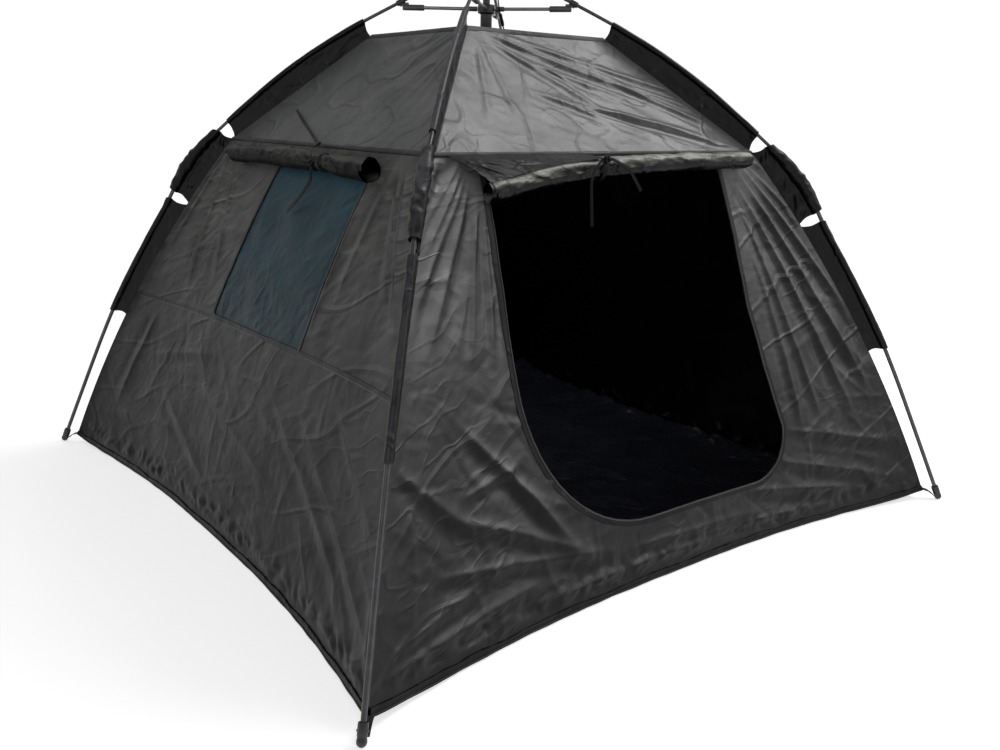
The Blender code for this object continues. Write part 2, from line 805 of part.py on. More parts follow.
# Knot in front of a tie's band. It returns where its tails start, just off its two ends, and which way.
def knot(name, side, hem, key, angle, upright):
    axis = roll_axis(side, hem, *key)
    reach = ROLL_R + 0.0026 + GAP + KNOT_R
    middle = axis + place(side, 0, reach * math.cos(math.radians(angle)), reach * math.sin(math.radians(angle)))
    along = Vector((0, 0, 1)) if upright else place(side, 1, 0, 0)
    bar(name, [middle - along * KNOT_HALF, middle + along * KNOT_HALF], [KNOT_R] * 2, WEBBING, 10)
    step = along * (KNOT_HALF + GAP)
    return (middle - step, -along), (middle + step, along)


# Smooth line through a list of points, four steps to each.
def smooth_line(keys):
    pts = [Vector(k) for k in keys]
    out = []
    last = len(pts) - 1
    for i in range(last):
        m1 = (pts[i + 1] - pts[max(i - 1, 0)]) / 2
        m2 = (pts[min(i + 2, last)] - pts[i]) / 2
        for k in range(4):
            f = k / 4
            step = pts[i] * (2 * f ** 3 - 3 * f ** 2 + 1) + m1 * (f ** 3 - 2 * f ** 2 + f)
            out.append(step + pts[i + 1] * (3 * f ** 2 - 2 * f ** 3) + m2 * (f ** 3 - f ** 2))
    return out + [pts[-1]]


# Flat tape along a line beside one wall, with its face turned outwards and up by the given slope.
def tail(name, side, start, keys, slope=0.0):
    at, way = start
    path = [at, at + way * 0.002] + smooth_line([at + way * 0.005] + [place(side, *p) for p in keys])
    face = place(side, 0, 1, slope).normalized()
    verts = []
    for i, p in enumerate(path):
        tan = (path[min(i + 1, len(path) - 1)] - path[max(i - 1, 0)]).normalized()
        across = tan.cross(face).normalized()
        up = across.cross(tan)
        for x, y in ((-1, -1), (1, -1), (1, 1), (-1, 1)):
            verts.append(p + across * x * TAIL_HALF_WIDTH + up * y * TAIL_HALF_THICK)
    n = len(path)
    faces = [(0, 1, 2, 3), tuple(4 * (n - 1) + k for k in (3, 2, 1, 0))]
    for i in range(n - 1):
        for k in range(4):
            a = 4 * i + k
            b = 4 * i + (k + 1) % 4
            faces.append((a, a + 4, b + 4, b))
    return make(name, verts, faces, WEBBING)


for tag, sign in CORNERS.items():
    upper_pole(tag, sign)
    lower_pole(tag, sign)
    foot(tag, sign)
    corner_strap(tag, sign)
    strut(tag, sign)
    upper_sleeve(tag, sign)
    knee_cover(tag, sign)
    lower_sleeve(tag, sign)
wall("front_wall", "front", HEM_IN_FRONT, door_outline())
wall("left_wall", "left", HEM_IN_SIDE, window_outline())
wall("back_wall", "back", HEM_IN_FRONT)
wall("right_wall", "right", HEM_IN_SIDE)
window_panel()
roof()
top_vent()
groundsheet()
centre_parts()
pull_cord()
roll("door_roll", "front", HEM_IN_FRONT, DOOR_ROLL, LINING)
roll("window_roll", "left", HEM_IN_SIDE, WINDOW_ROLL, LINING)
tie_band("door_tie", "front", HEM_IN_FRONT, DOOR_ROLL[2])
tie_band("window_tie", "left", HEM_IN_SIDE, WINDOW_ROLL[2])
low, high = knot("door_knot", "front", HEM_IN_FRONT, DOOR_ROLL[2], DOOR_KNOT_ANGLE, False)
tail("door_tail_long", "front", low, DOOR_TAIL_LONG)
tail("door_tail_short", "front", high, DOOR_TAIL_SHORT)
low, high = knot("window_knot", "left", HEM_IN_SIDE, WINDOW_ROLL[2], 0.0, True)
tail("window_tail_low", "left", low, WINDOW_TAIL_LOW)
tail("window_tail_high", "left", high, WINDOW_TAIL_HIGH, 1.03)
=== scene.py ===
import math
import bpy
import bmesh
import numpy as np
from mathutils import Matrix, Vector


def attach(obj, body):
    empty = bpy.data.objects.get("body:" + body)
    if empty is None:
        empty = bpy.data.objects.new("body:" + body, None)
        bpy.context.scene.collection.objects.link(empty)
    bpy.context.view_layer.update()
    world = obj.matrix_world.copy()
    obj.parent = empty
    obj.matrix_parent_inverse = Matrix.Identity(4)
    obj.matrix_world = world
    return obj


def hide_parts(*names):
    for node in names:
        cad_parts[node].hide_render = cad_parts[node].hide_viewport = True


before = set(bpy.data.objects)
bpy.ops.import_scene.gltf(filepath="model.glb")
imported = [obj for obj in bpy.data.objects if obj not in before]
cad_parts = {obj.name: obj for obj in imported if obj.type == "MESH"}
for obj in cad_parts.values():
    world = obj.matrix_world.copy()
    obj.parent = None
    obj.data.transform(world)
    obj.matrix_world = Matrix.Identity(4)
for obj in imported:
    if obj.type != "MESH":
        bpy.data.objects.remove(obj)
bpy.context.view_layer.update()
BODY = "root"
SMALL = 1e-5
SNAP_CELLS = 0.71
NOISE_CELLS = 128
STAGE_REACH = 60.0
STAGE_Z = -0.0005

# Dimensions shared with the CAD, in metres.
FLOOR_HALF = 1.05
FLOOR_CORNER_Z = 0.03
SEAM_HALF = 0.591
SEAM_Z = 1.1
RIM_HALF = 0.2565
RIM_Z = 1.425
CORNER_BOW = 17.0
HEM = {"front": 0.115, "back": 0.115, "left": 0.095, "right": 0.095}
HEM_POWER = 2.6
SEAM_IN = 0.012
ROOF_HEIGHT = 0.467
WALL_SLOPE = 0.44
ROOF_SLOPE = 1.03
POLE_KEYS = np.array([
    (0.0228, 1.622), (0.105, 1.578), (0.19, 1.524), (0.297, 1.449),
    (0.395, 1.37), (0.48, 1.288), (0.552, 1.208), (0.612, 1.138),
    (0.664, 1.074), (0.704, 1.012), (0.738, 0.94), (0.77, 0.862),
    (0.812, 0.77), (0.862, 0.655), (0.913, 0.53), (0.956, 0.41),
    (0.996, 0.29), (1.032, 0.18), (1.063, 0.085), (1.087, 0.011)])
KNEE_Z = 1.05
POLE_UP_R = 0.005
POLE_LOW_R = 0.0062
STRUT_Z = 1.506
HUB_Z = 1.612
POST_FOOT_Z = 1.402
ROLL_R = 0.032
DOOR_ROLL = [(-0.484, 1.012), (-0.28, 1.046), (-0.1, 1.0625), (0.22, 1.074), (0.515, 1.078)]
WINDOW_ROLL = [(-0.457, 1.056), (-0.2, 1.062), (0.14, 1.0585), (0.391, 1.052)]
DOOR_TIE, DOOR_PINCH = -0.1, 0.9
WINDOW_TIE, WINDOW_PINCH = 0.14, 0.72
DOOR_KNOT_ANGLE = 38.0
KNOT_HALF = 0.011
TAPE_HALF, TAPE_THICK = 0.0045, 0.0014
PULL_CORD_R = 0.002
PIPING_R = 0.003
DOOR_TAIL_LONG = [(-0.128, 0.675, 1.084), (-0.15, 0.681, 1.066), (-0.162, 0.68, 1.038),
                  (-0.158, 0.678, 0.987), (-0.15, 0.676, 0.917)]
DOOR_TAIL_SHORT = [(-0.072, 0.677, 1.083), (-0.035, 0.684, 1.062), (-0.004, 0.681, 1.033),
                   (0.024, 0.676, 1.004)]
WINDOW_TAIL_LOW = [(0.141, 0.682, 1.03), (0.134, 0.681, 1.01), (0.102, 0.681, 0.987),
                   (0.067, 0.681, 0.962), (0.024, 0.681, 0.937), (-0.014, 0.681, 0.917)]
WINDOW_TAIL_HIGH = [(0.138, 0.68, 1.08), (0.13, 0.668, 1.096), (0.115, 0.645, 1.106),
                    (0.08, 0.62, 1.106), (0.0228, 0.599, 1.106), (-0.112, 0.553, 1.135),
                    (-0.228, 0.52, 1.168), (-0.308, 0.496, 1.194)]
SIDES = ("front", "right", "back", "left")
CORNERS = {"near": (-1, -1), "right": (1, -1), "left": (-1, 1), "far": (1, 1)}


# Gradient noise on a square grid that repeats.
class Noise:
    def __init__(self, seed):
        ang = np.random.default_rng(seed).uniform(0, 2 * np.pi, (NOISE_CELLS, NOISE_CELLS))
        self.gx = np.cos(ang)
        self.gy = np.sin(ang)

    def __call__(self, x, y):
        xi = np.floor(x).astype(int)
        yi = np.floor(y).astype(int)
        fx = x - xi
        fy = y - yi
        u = fx ** 3 * (fx * (fx * 6 - 15) + 10)
        v = fy ** 3 * (fy * (fy * 6 - 15) + 10)

        def grad(i, j):
            a = (xi + i) % NOISE_CELLS
            b = (yi + j) % NOISE_CELLS
            return self.gx[a, b] * (fx - i) + self.gy[a, b] * (fy - j)

        low = grad(0, 0) * (1 - u) + grad(1, 0) * u
        high = grad(0, 1) * (1 - u) + grad(1, 1) * u
        return (low * (1 - v) + high * v) * 1.4


def fbm(noise, x, y):
    return noise(x, y) + 0.5 * noise(x * 2 + 7.3, y * 2 - 3.1)


# Sharp crease lines with soft valleys between them, about -0.5 to 0.5.
def crease(noise, x, y, sharp):
    n = noise(x, y)
    return 0.5 - np.sqrt(n * n + sharp * sharp) * 1.6


def smooth(low, high, x):
    t = np.clip((x - low) / (high - low), 0, 1)
    return t * t * (3 - 2 * t)


# The line where two walls meet, from 0 at the ground to 1 at the seam.
def corner(w):
    a = np.array((FLOOR_HALF * math.sqrt(2), FLOOR_CORNER_Z))
    b = np.array((SEAM_HALF * math.sqrt(2), SEAM_Z))
    chord = b - a
    bow = math.radians(CORNER_BOW)
    radius = np.hypot(*chord) / 2 / math.sin(bow / 2)
    side = np.array((chord[1], -chord[0])) / np.hypot(*chord)
    centre = (a + b) / 2 - side * radius * math.cos(bow / 2)
    ang = math.atan2(a[1] - centre[1], a[0] - centre[0]) + bow * w
    return (centre[0] + radius * np.cos(ang)) / math.sqrt(2), centre[1] + radius * np.sin(ang)


def wall_plan(side, s, w):
    rc, zc = corner(w)
    hem = HEM[side]
    inset = SEAM_IN + (hem - SEAM_IN) * np.clip(1 - w, 0, 1) ** 1.3
    out = rc - inset * (1 - np.abs(s) ** HEM_POWER)
    lift = 0.004 + 0.026 * np.abs(s) ** 8
    return s * rc, out, zc + (lift - FLOOR_CORNER_Z) * np.clip(1 - w, 0, 1) ** 2


def wall_coords(side, along, z):
    low = np.zeros(np.broadcast(along, z).shape)
    high = np.ones_like(low)
    for _ in range(26):
        w = (low + high) / 2
        s = along / corner(w)[0]
        under = wall_plan(side, s, w)[2] < z
        low = np.where(under, w, low)
        high = np.where(under, high, w)
    w = (low + high) / 2
    return along / corner(w)[0], w


# Points in the tent's frame from a side's own coordinates: along it, out from it, and up.
def place(side, along, out, z):
    x, y = {"front": (along, -out), "back": (-along, out), "left": (-out, -along),
            "right": (out, along)}[side]
    return np.stack(np.broadcast_arrays(x, y, z), -1)


def outward(side, slope):
    k = 1 / math.sqrt(1 + slope * slope)
    return place(side, 0.0, k, slope * k)


UP = np.array((0, 0, 1.0))
NA = Noise(11)
NB = Noise(23)
NC = Noise(37)


# Ridge along a line between two points of a panel's plan, steeper on one side.
def fold(a, z, p, q, width, amp, fade, widen):
    dx = q[0] - p[0]
    dz = q[1] - p[1]
    length = math.hypot(dx, dz)
    t = ((a - p[0]) * dx + (z - p[1]) * dz) / length ** 2
    d = ((a - p[0]) * dz - (z - p[1]) * dx) / length
    w = width * (1 + (widen - 1) * np.clip(t, 0, 1))
    d = d + 0.3 * width * NB(t * 2.2 + p[0] * 9, 3.1 + p[1] * 7)
    env = smooth(-0.06, fade, t) * (1 - smooth(1 - fade, 1.12, t))
    crest = np.exp(-np.sqrt((d / w) ** 2 + 0.05) * 1.7) * 1.45
    valley = np.exp(-((d - 1.9 * w) / (1.1 * w)) ** 2)
    return amp * env * (crest - 0.55 * valley)


# Folds of a table added to d. Each row holds two ends, a width and a height, in millimetres.
def folds(d, a, z, table, strength, fade, widen):
    for row in table:
        x0, z0, x1, z1, width, amp = (value / 1000 for value in row)
        d = d + fold(a, z, (x0, z0), (x1, z1), width, amp * strength, fade, widen)
    return d


# Random creases of a panel, each a short sharp ridge or valley.
class Creases:
    def __init__(self, seed, count, box, length, width, amp, lean=None, spread=None):
        rng = np.random.default_rng(seed)
        x = rng.uniform(*box[:2], count)
        z = rng.uniform(*box[2:], count)
        ang = rng.uniform(0, np.pi, count) if lean is None else lean + rng.normal(0, spread, count)
        half = rng.uniform(*length, count) / 2
        width = rng.uniform(*width, count)
        amp = rng.uniform(*amp, count) * rng.choice([-1.0, 1.0], count, p=[0.3, 0.7])
        self.rows = list(zip(x, z, np.cos(ang), np.sin(ang), half, width, amp, rng.normal(0, 0.5, count)))

    def __call__(self, a, z):
        out = np.zeros(np.broadcast(a, z).shape)
        for cx, cz, dx, dz, half, width, amp, bend in self.rows:
            x = a - cx
            y = z - cz
            t = (x * dx + y * dz) / half
            d = (y * dx - x * dz) / width + bend * t * t
            near = (np.abs(t) < 1) & (np.abs(d) < 5)
            if near.any():
                t, d = t[near], d[near]
                out[near] += amp * (1 - t * t) ** 2 * np.exp(-np.sqrt(d * d + 0.12) * 1.3)
        return out


# Ridges that spread from a point where the cloth is pulled.
def fan(a, z, centre, freq, near, far, amp, seed):
    dx = a - centre[0]
    dz = z - centre[1]
    r = np.hypot(dx, dz)
    th = np.arctan2(dz, dx)
    ridge = crease(NC, th * freq + seed, r * 1.4 + seed * 0.7, 0.05)
    return amp * ridge * smooth(near * 0.3, near, r) * (1 - smooth(near, far, r))


def crinkle(a, z, seed):
    x = a + seed * 1.7
    warp = 0.03 * NA(x * 6, z * 6)
    return 0.0022 * fbm(NB, (x + warp) * 5.0, z * 5.0) + 0.0006 * crease(NC, x * 30 + 2, z * 30, 0.1)


WALL_BOX = (-1.0, 1.0, 0.0, 1.1)
FRONT_FINE = Creases(101, 520, WALL_BOX, (0.06, 0.2), (0.005, 0.009), (0.0008, 0.0022))
FRONT_LARGE = Creases(102, 110, (-1.0, 1.0, 0.0, 0.55), (0.15, 0.45), (0.007, 0.015), (0.002, 0.0048))
LEFT_FINE = Creases(201, 220, (-1.0, 1.0, 0.0, 0.58), (0.06, 0.2), (0.005, 0.008), (0.0005, 0.0014))
LEFT_SLANT = Creases(203, 300, (-0.75, 0.75, 0.58, 1.08), (0.06, 0.2), (0.005, 0.008), (0.0008, 0.002),
                     0.45, 0.25)
LEFT_LARGE = Creases(202, 46, (-1.0, 1.0, 0.0, 0.56), (0.2, 0.6), (0.007, 0.013), (0.0012, 0.003),
                     -0.5, 0.6)
FRONT_FOLDS = [
    (-515, 1085, -712, 919, 12, 6), (-517, 1066, -745, 840, 13, 7.5), (-516, 1048, -772, 760, 14, 7),
    (-513, 1030, -738, 690, 13, 5.5), (-493, 1004, -653, 680, 12, 4.5), (-508, 996, -618, 660, 9, 3.5),
    (-484, 995, -556, 640, 8, 3), (-466, 983, -512, 620, 8, 3), (526, 1080, 950, 620, 12, 5.5),
    (510, 1066, 930, 480, 13, 7.5), (491, 1046, 850, 400, 13, 7.5), (466, 1018, 770, 340, 12, 6),
    (446, 975, 640, 330, 10, 4.5), (452, 905, 560, 300, 9, 3.5), (540, 1090, 760, 960, 12, 4.5),
    (-690, 520, -430, 225, 15, 6), (-600, 420, -380, 172, 13, 5), (-900, 480, -640, 230, 16, 5),
    (-760, 330, -330, 140, 16, 7), (-860, 230, -250, 115, 15, 7), (-1010, 75, -480, 110, 15, 6),
    (-990, 110, -560, 190, 14, 5), (-720, 360, -520, 400, 10, 4.5), (-480, 60, 120, 55, 14, 4.5),
    (-200, 105, 340, 85, 13, 4.5), (300, 150, 800, 75, 15, 6), (420, 220, 920, 90, 15, 5.5),
    (480, 300, 940, 200, 13, 4.5), (100, 70, 700, 45, 12, 4)]
LEFT_FOLDS = [
    (455, 1070, 400, 760, 12, 3.5), (470, 1060, 640, 760, 13, 4.5), (500, 1060, 720, 720, 14, 4.5),
    (350, 980, 310, 640, 10, 3), (-530, 1060, -520, 640, 12, 4), (-460, 1020, -360, 700, 12, 4),
    (-560, 1070, -740, 700, 13, 4.5), (-667, 536, -820, 200, 16, 4), (385, 450, 960, 130, 18, 5),
    (180, 470, 760, 160, 16, 4), (-274, 389, 250, 250, 16, 4), (-900, 150, -345, 216, 15, 3.5),
    (18, 420, 635, 318, 15, 3.5), (-640, 400, -200, 480, 14, 3), (560, 520, 880, 330, 16, 4),
    (-500, 300, -120, 120, 16, 3.5)]


# Low crumples that gather along the hem, where the groundsheet is sewn on.
def hem_puff(a, z, seed):
    band = np.exp(-((z - 0.055) / 0.03) ** 2)
    puff = np.abs(NA(a * 9 + seed, z * 12 + seed)) + 0.5 * np.abs(NB(a * 21 + seed, z * 20))
    return 0.016 * band * (puff - 0.25)


def front_relief(a, z):
    d = crinkle(a, z, 1) + FRONT_FINE(a, z) * (0.35 + 0.65 * smooth(0.9, 0.4, z)) + FRONT_LARGE(a, z)
    return folds(d + hem_puff(a, z, 2.0), a, z, FRONT_FOLDS, 1.35, 0.25, 1.6)


def left_relief(a, z):
    large = LEFT_LARGE(a, z) * smooth(0.6, 0.56, z)
    d = crinkle(a, z, 5) + LEFT_FINE(a, z) + LEFT_SLANT(a, z) + large
    return folds(d + hem_puff(a, z, 6.0), a, z, LEFT_FOLDS, 1.3, 0.25, 1.5)


def plain_relief(seed):
    fine = Creases(seed * 7, 420, WALL_BOX, (0.04, 0.16), (0.006, 0.014), (0.0005, 0.0018))
    large = Creases(seed * 9, 90, WALL_BOX, (0.15, 0.5), (0.014, 0.03), (0.0015, 0.0045))

    def relief(a, z):
        d = crinkle(a, z, seed) + fine(a, z) + large(a, z) + hem_puff(a, z, seed)
        for x in (-0.56, 0.56):
            d = d + fan(a, z, (x, 1.09), 5.5, 0.06, 0.55, 0.008, seed + x)
        for x in (-1.0, 1.0):
            d = d + fan(a, z, (x, 0.03), 6.0, 0.1, 0.85, 0.007, seed + 3 * x)
        return d
    return relief


RELIEF = {"front": front_relief, "left": left_relief, "back": plain_relief(14), "right": plain_relief(19)}


# Points on a wall's wrinkled cloth from its own coordinates.
def on_wall(side, s, w, lift=0.0):
    along, out, z = wall_plan(side, s, w)
    edge = smooth(1.0, 0.955, np.abs(s)) * smooth(0.0, 0.05, w) * (0.25 + 0.75 * smooth(1.0, 0.95, w))
    d = RELIEF[side](along, z) * edge + lift
    return place(side, along, out, z) + d[..., None] * outward(side, WALL_SLOPE)


def at_wall(side, along, z, lift):
    return on_wall(side, *wall_coords(side, along, z), lift)


# Unit directions along a path.
def tangents(path):
    tan = np.gradient(path, axis=0)
    return tan / np.linalg.norm(tan, axis=1)[:, None]


def new_object(name, verts, faces, mats, face_mats=None, sharp=None):
    mesh = bpy.data.meshes.new(name)
    mesh.from_pydata(np.asarray(verts, float).tolist(), [], [tuple(int(i) for i in f) for f in faces])
    for mat in mats:
        mesh.materials.append(mat)
    if face_mats is not None:
        mesh.polygons.foreach_set("material_index", face_mats)
    mesh.polygons.foreach_set("use_smooth", [True] * len(mesh.polygons))
    if sharp is not None:
        mesh.set_sharp_from_angle(angle=math.radians(sharp))
    mesh.update()
    obj = bpy.data.objects.new(name, mesh)
    bpy.context.scene.collection.objects.link(obj)
    return obj


def declare(obj, nodes, slot):
    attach(obj, BODY)
    if nodes:
        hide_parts(*nodes)


# Cloth from a grid of points.
def panel(name, points, mat, nodes, slot, faces=None, wrap=False, **cut):
    if faces is None:
        faces = grid_faces(*points.shape[:2], wrap)
    obj = new_object(name, points.reshape(-1, 3), faces, [mat])
    declare(obj, nodes, slot)


def grid_faces(ny, nx, wrap=False):
    ids = np.arange(ny * nx).reshape(ny, nx)
    if wrap:
        ids = np.concatenate([ids, ids[:, :1]], 1)
    return np.stack([ids[:-1, :-1], ids[:-1, 1:], ids[1:, 1:], ids[1:, :-1]], -1).reshape(-1, 4)


def drop_loose(verts, faces):
    used = np.unique(faces)
    remap = -np.ones(len(verts), int)
    remap[used] = np.arange(len(used))
    return verts[used], remap[faces]


# Collects the faces of one piece.
class Build:
    def __init__(self):
        self.v = []
        self.f = []
        self.m = []

    def add(self, verts, faces, mat):
        start = len(self.v)
        self.v += [tuple(p) for p in verts]
        self.f += [tuple(int(i) + start for i in face) for face in faces]
        self.m += [mat] * len(faces)

    def grid(self, points, wrap=False, mat=0, caps=False):
        n, m = np.shape(points)[:2]
        faces = [tuple(f) for f in grid_faces(n, m, wrap)]
        if caps:
            faces += [tuple(reversed(range(m))), tuple(range(n * m - m, n * m))]
        self.add(np.reshape(points, (-1, 3)), faces, mat)

    def tube(self, path, radii, sides, mat=0):
        path = np.asarray(path, float)
        ang = np.linspace(0, 2 * np.pi, sides, endpoint=False)
        c, s = np.cos(ang)[:, None], np.sin(ang)[:, None]
        radii = np.broadcast_to(radii, (len(path),))
        rings = [q + r * (c * n + s * b) for q, r, (n, b) in zip(path, radii, frames(path))]
        self.grid(rings, True, mat, True)

    # Turned piece. The profile holds radii and heights in millimetres.
    def lathe(self, profile, origin, axis, sides, mat=0):
        axis = np.asarray(axis, float) / np.linalg.norm(axis)
        ref = np.array((1.0, 0, 0)) if abs(axis[0]) < 0.9 else np.array((0, 1.0, 0))
        u = np.cross(axis, ref)
        u /= np.linalg.norm(u)
        ang = np.linspace(0, 2 * np.pi, sides, endpoint=False)
        ring = np.cos(ang)[:, None] * u + np.sin(ang)[:, None] * np.cross(axis, u)
        rows = [np.asarray(origin) + axis * (h / 1000) + max(r / 1000, SMALL) * ring for r, h in profile]
        self.grid(rows, True, mat)

    def pin(self, middle, half, radius, mat):
        self.tube([middle - half, middle + half], radius, 12, mat)

    def block(self, centre, size, x_axis, z_axis, bevel, mat=0):
        bm = bmesh.new()
        bmesh.ops.create_cube(bm, size=1.0)
        bmesh.ops.scale(bm, vec=size, verts=bm.verts)
        bmesh.ops.bevel(bm, geom=list(bm.edges), offset=bevel, segments=2, affect="EDGES", profile=0.6)
        x = Vector(x_axis).normalized()
        z = Vector(z_axis)
        z = (z - x * z.dot(x)).normalized()
        rot = Matrix((x, z.cross(x), z)).transposed()
        bm.verts.index_update()
        verts = [Vector(centre) + rot @ q.co for q in bm.verts]
        self.add(verts, [[q.index for q in f.verts] for f in bm.faces], mat)
        bm.free()

    def done(self, name, mats, sharp, nodes, slot):
        obj = new_object(name, self.v, self.f, mats, self.m, sharp)
        declare(obj, nodes, slot)
        return obj


# Two directions across a path at each of its points, carried along without twist.
def frames(path):
    out = []
    n = None
    for t in tangents(path):
        if n is None:
            n = np.cross(t, (0, 0, 1.0) if abs(t[2]) < 0.9 else (1.0, 0, 0))
        else:
            n = n - t * np.dot(n, t)
        n = n / np.linalg.norm(n)
        out.append((n, np.cross(t, n)))
    return out


# Nodes of a material or world. A value is a number, a tuple or the output it comes from.
class Graph:
    def __init__(self, owner):
        owner.use_nodes = True
        self.owner = owner
        self.nodes = owner.node_tree.nodes

    def fill(self, node, values):
        for key, value in values.items():
            if isinstance(value, bpy.types.NodeSocket):
                self.owner.node_tree.links.new(value, node.inputs[key])
            else:
                node.inputs[key].default_value = value

    def add(self, kind, values, output=0, **settings):
        node = self.nodes.new("ShaderNode" + kind)
        for key, value in settings.items():
            setattr(node, key, value)
        self.fill(node, values)
        return node.outputs[output]

    def coord(self, name="Object"):
        return self.add("TexCoord", {}, name)

    def noise(self, coord, scale, detail=2.0, output="Fac"):
        return self.add("TexNoise", {"Vector": coord, "Scale": scale, "Detail": detail}, output)

    def ramp(self, value, low, high, start=0.3, end=0.7):
        values = {"Value": value, "From Min": start, "From Max": end, "To Min": low, "To Max": high}
        return self.add("MapRange", values)

    def bump(self, height, strength, distance, normal=None):
        values = {"Height": height, "Strength": strength, "Distance": distance}
        if normal is not None:
            values["Normal"] = normal
        return self.add("Bump", values)

    def wave(self, coord, axis, scale):
        values = {"Vector": coord, "Scale": scale, "Distortion": 0.6}
        return self.add("TexWave", values, "Fac", bands_direction=axis)

    def math(self, operation, a, b):
        return self.add("Math", {0: a, 1: b}, operation=operation)

    def height(self, vector):
        return self.add("SeparateXYZ", {"Vector": vector}, "Z")

    # Uneven colour between two, given in thousandths of full brightness.
    def tone(self, coord, scale, detail, dark, light):
        a, b = ([c / 1000 for c in color] + [1] for color in (dark, light))
        mask = self.ramp(self.noise(coord, scale, detail), 0.0, 1.0)
        return self.add("Mix", {"Factor": mask, "A": a, "B": b}, "Result", data_type="RGBA")

    # Coordinates pushed about by noise, so that cells get uneven edges.
    def warped(self, coord, scale, amount):
        values = {0: self.noise(coord, scale, output="Color"), 1: (amount, amount, amount), 2: coord}
        return self.add("VectorMath", values, operation="MULTIPLY_ADD")

    # Creases as narrow ridges along the level lines of a noise, drawn out along one turned axis.
    def ridges(self, coord, scale, turn, stretch, sharp, detail):
        values = {"Vector": coord, "Rotation": turn, "Scale": stretch}
        drawn = self.add("Mapping", values, vector_type="TEXTURE")
        level = self.math("SUBTRACT", self.noise(drawn, scale, detail), 0.5)
        return self.ramp(self.math("ABSOLUTE", level, 0.0), 1.0, 0.0, 0.0, sharp)

    # Painted light and shade: colour paler where a facet faces up, as a painted highlight, and darker
    # towards the ground, as painted shade.
    def painted_light(self, normal, coord, low, lift):
        up = self.math("POWER", self.ramp(self.height(normal), 0.0, 1.0, -0.1, 0.75), 2.4)
        tall = self.ramp(self.height(coord), low, 1.0, 0.0, 0.75)
        return self.math("MULTIPLY", self.math("MULTIPLY", up, tall), lift)

    def shade(self, **values):
        values = {key.replace("_", " "): value for key, value in values.items()}
        self.fill(self.nodes["Principled BSDF"], values)
        return self.owner


# Coated cloth: creases, facets, fine crinkle, weave, uneven tone and gloss, with painted light and shade in
# its colour.
def cloth(name, dark, light, rough, crumple=1.0, specular=0.5, low=1.0, lift=3.0,
          turn=(0.0, 0.0, 0.0), stretch=(1.0, 1.0, 1.0), weave=240.0, facets=14.0):
    g = Graph(bpy.data.materials.new(name))
    coord = g.coord()
    tone = g.tone(coord, 6.0, 5.0, dark, light)
    bent = g.warped(coord, 9.0, 0.05)
    cells = g.add("TexVoronoi", {"Vector": bent, "Scale": facets}, "Distance")
    normal = g.bump(cells, 0.5, 0.003 * crumple)
    normal = g.bump(g.ridges(coord, 5.5, turn, stretch, 0.034, 0.8), 0.8, 0.0017 * crumple, normal)
    patch = g.ramp(g.noise(coord, 3.5, 1.0), 0.15, 1.0, 0.4, 0.6)
    small = g.math("MULTIPLY", g.ridges(bent, 15.0, turn, stretch, 0.055, 1.2), patch)
    normal = g.bump(small, 0.8, 0.0008 * crumple, normal)
    normal = g.bump(g.noise(coord, 120.0, 3.0), 0.4, 0.0003 * crumple, normal)
    threads = g.math("MULTIPLY", g.wave(coord, "X", weave), g.wave(coord, "Z", weave))
    normal = g.bump(threads, 0.25, 0.00012, normal)
    # The tone is scaled by painted light: paler on up-facing facets as a painted highlight, darker towards
    # the ground as painted shade.
    tone_with_painted_light = g.add("VectorMath", {0: tone, "Scale": g.painted_light(normal, coord, low, lift)}, operation="SCALE")
    gloss = g.ramp(g.noise(coord, 11.0, 3.0), rough - 0.05, rough + 0.07)
    return g.shade(Base_Color=tone_with_painted_light, Roughness=gloss, Specular_IOR_Level=specular, Normal=normal)


# Metal and plastic: uneven tone, rubbed gloss and a fine grain.
def hard(name, color, rough, metal=0.0):
    g = Graph(bpy.data.materials.new(name))
    coord = g.coord()
    tone = g.tone(coord, 30.0, 4.0, [c * 0.8 for c in color], [c * 1.15 for c in color])
    rubbed = g.ramp(g.noise(coord, 70.0, 5.0), rough - 0.06, rough + 0.1)
    grain = g.bump(g.noise(coord, 960.0, 2.0), 0.3, 0.0002)
    return g.shade(Base_Color=tone, Roughness=rubbed, Metallic=metal, Normal=grain)


# In each cloth, low and lift set its painted light and shade: low is the colour's share at the ground, lift
# how strongly up-facing facets are painted paler.
BACK = cloth("back_shell_cloth", (40, 41, 40), (64, 65, 64), 0.33, 0.9, 0.16, 0.25, 6.0,
             (0.0, 0.55, 0.0), (3.2, 1.0, 1.0))
RIGHT = cloth("right_shell_cloth", (36, 36.5, 35), (58, 59, 57), 0.33, 0.9, 0.16, 0.25, 6.0,
              (0.5, 0.0, 0.0), (1.0, 3.2, 1.0))
FRONT = cloth("front_shell_cloth", (39, 40, 39), (64, 65, 64), 0.32, 1.3, 0.16, 0.22, 6.0,
              (0.0, -0.45, 0.0), (2.8, 1.0, 1.0))
# Same shell fabric as the other walls, painted about half as bright: painted shade on the left wall.
LEFT = cloth("left_shell_cloth", (21, 21.5, 20.5), (42, 43, 41), 0.32, 1.0, 0.08, 0.18, 6.0,
             (-0.45, 0.0, 0.0), (1.0, 3.2, 1.0))
ROOF = cloth("roof_shell_cloth", (27, 28, 28), (42, 43, 43), 0.33, 1.0, 0.38)
SHELL_EDGE = cloth("shell_edge_cloth", (14, 14, 14), (26, 26, 26), 0.42, 0.6, 0.13, 0.35, 5.0)
SLEEVE = cloth("sleeve_cloth", (14, 14.3, 15.8), (28, 28.5, 31), 0.32, 1.5, 0.18)
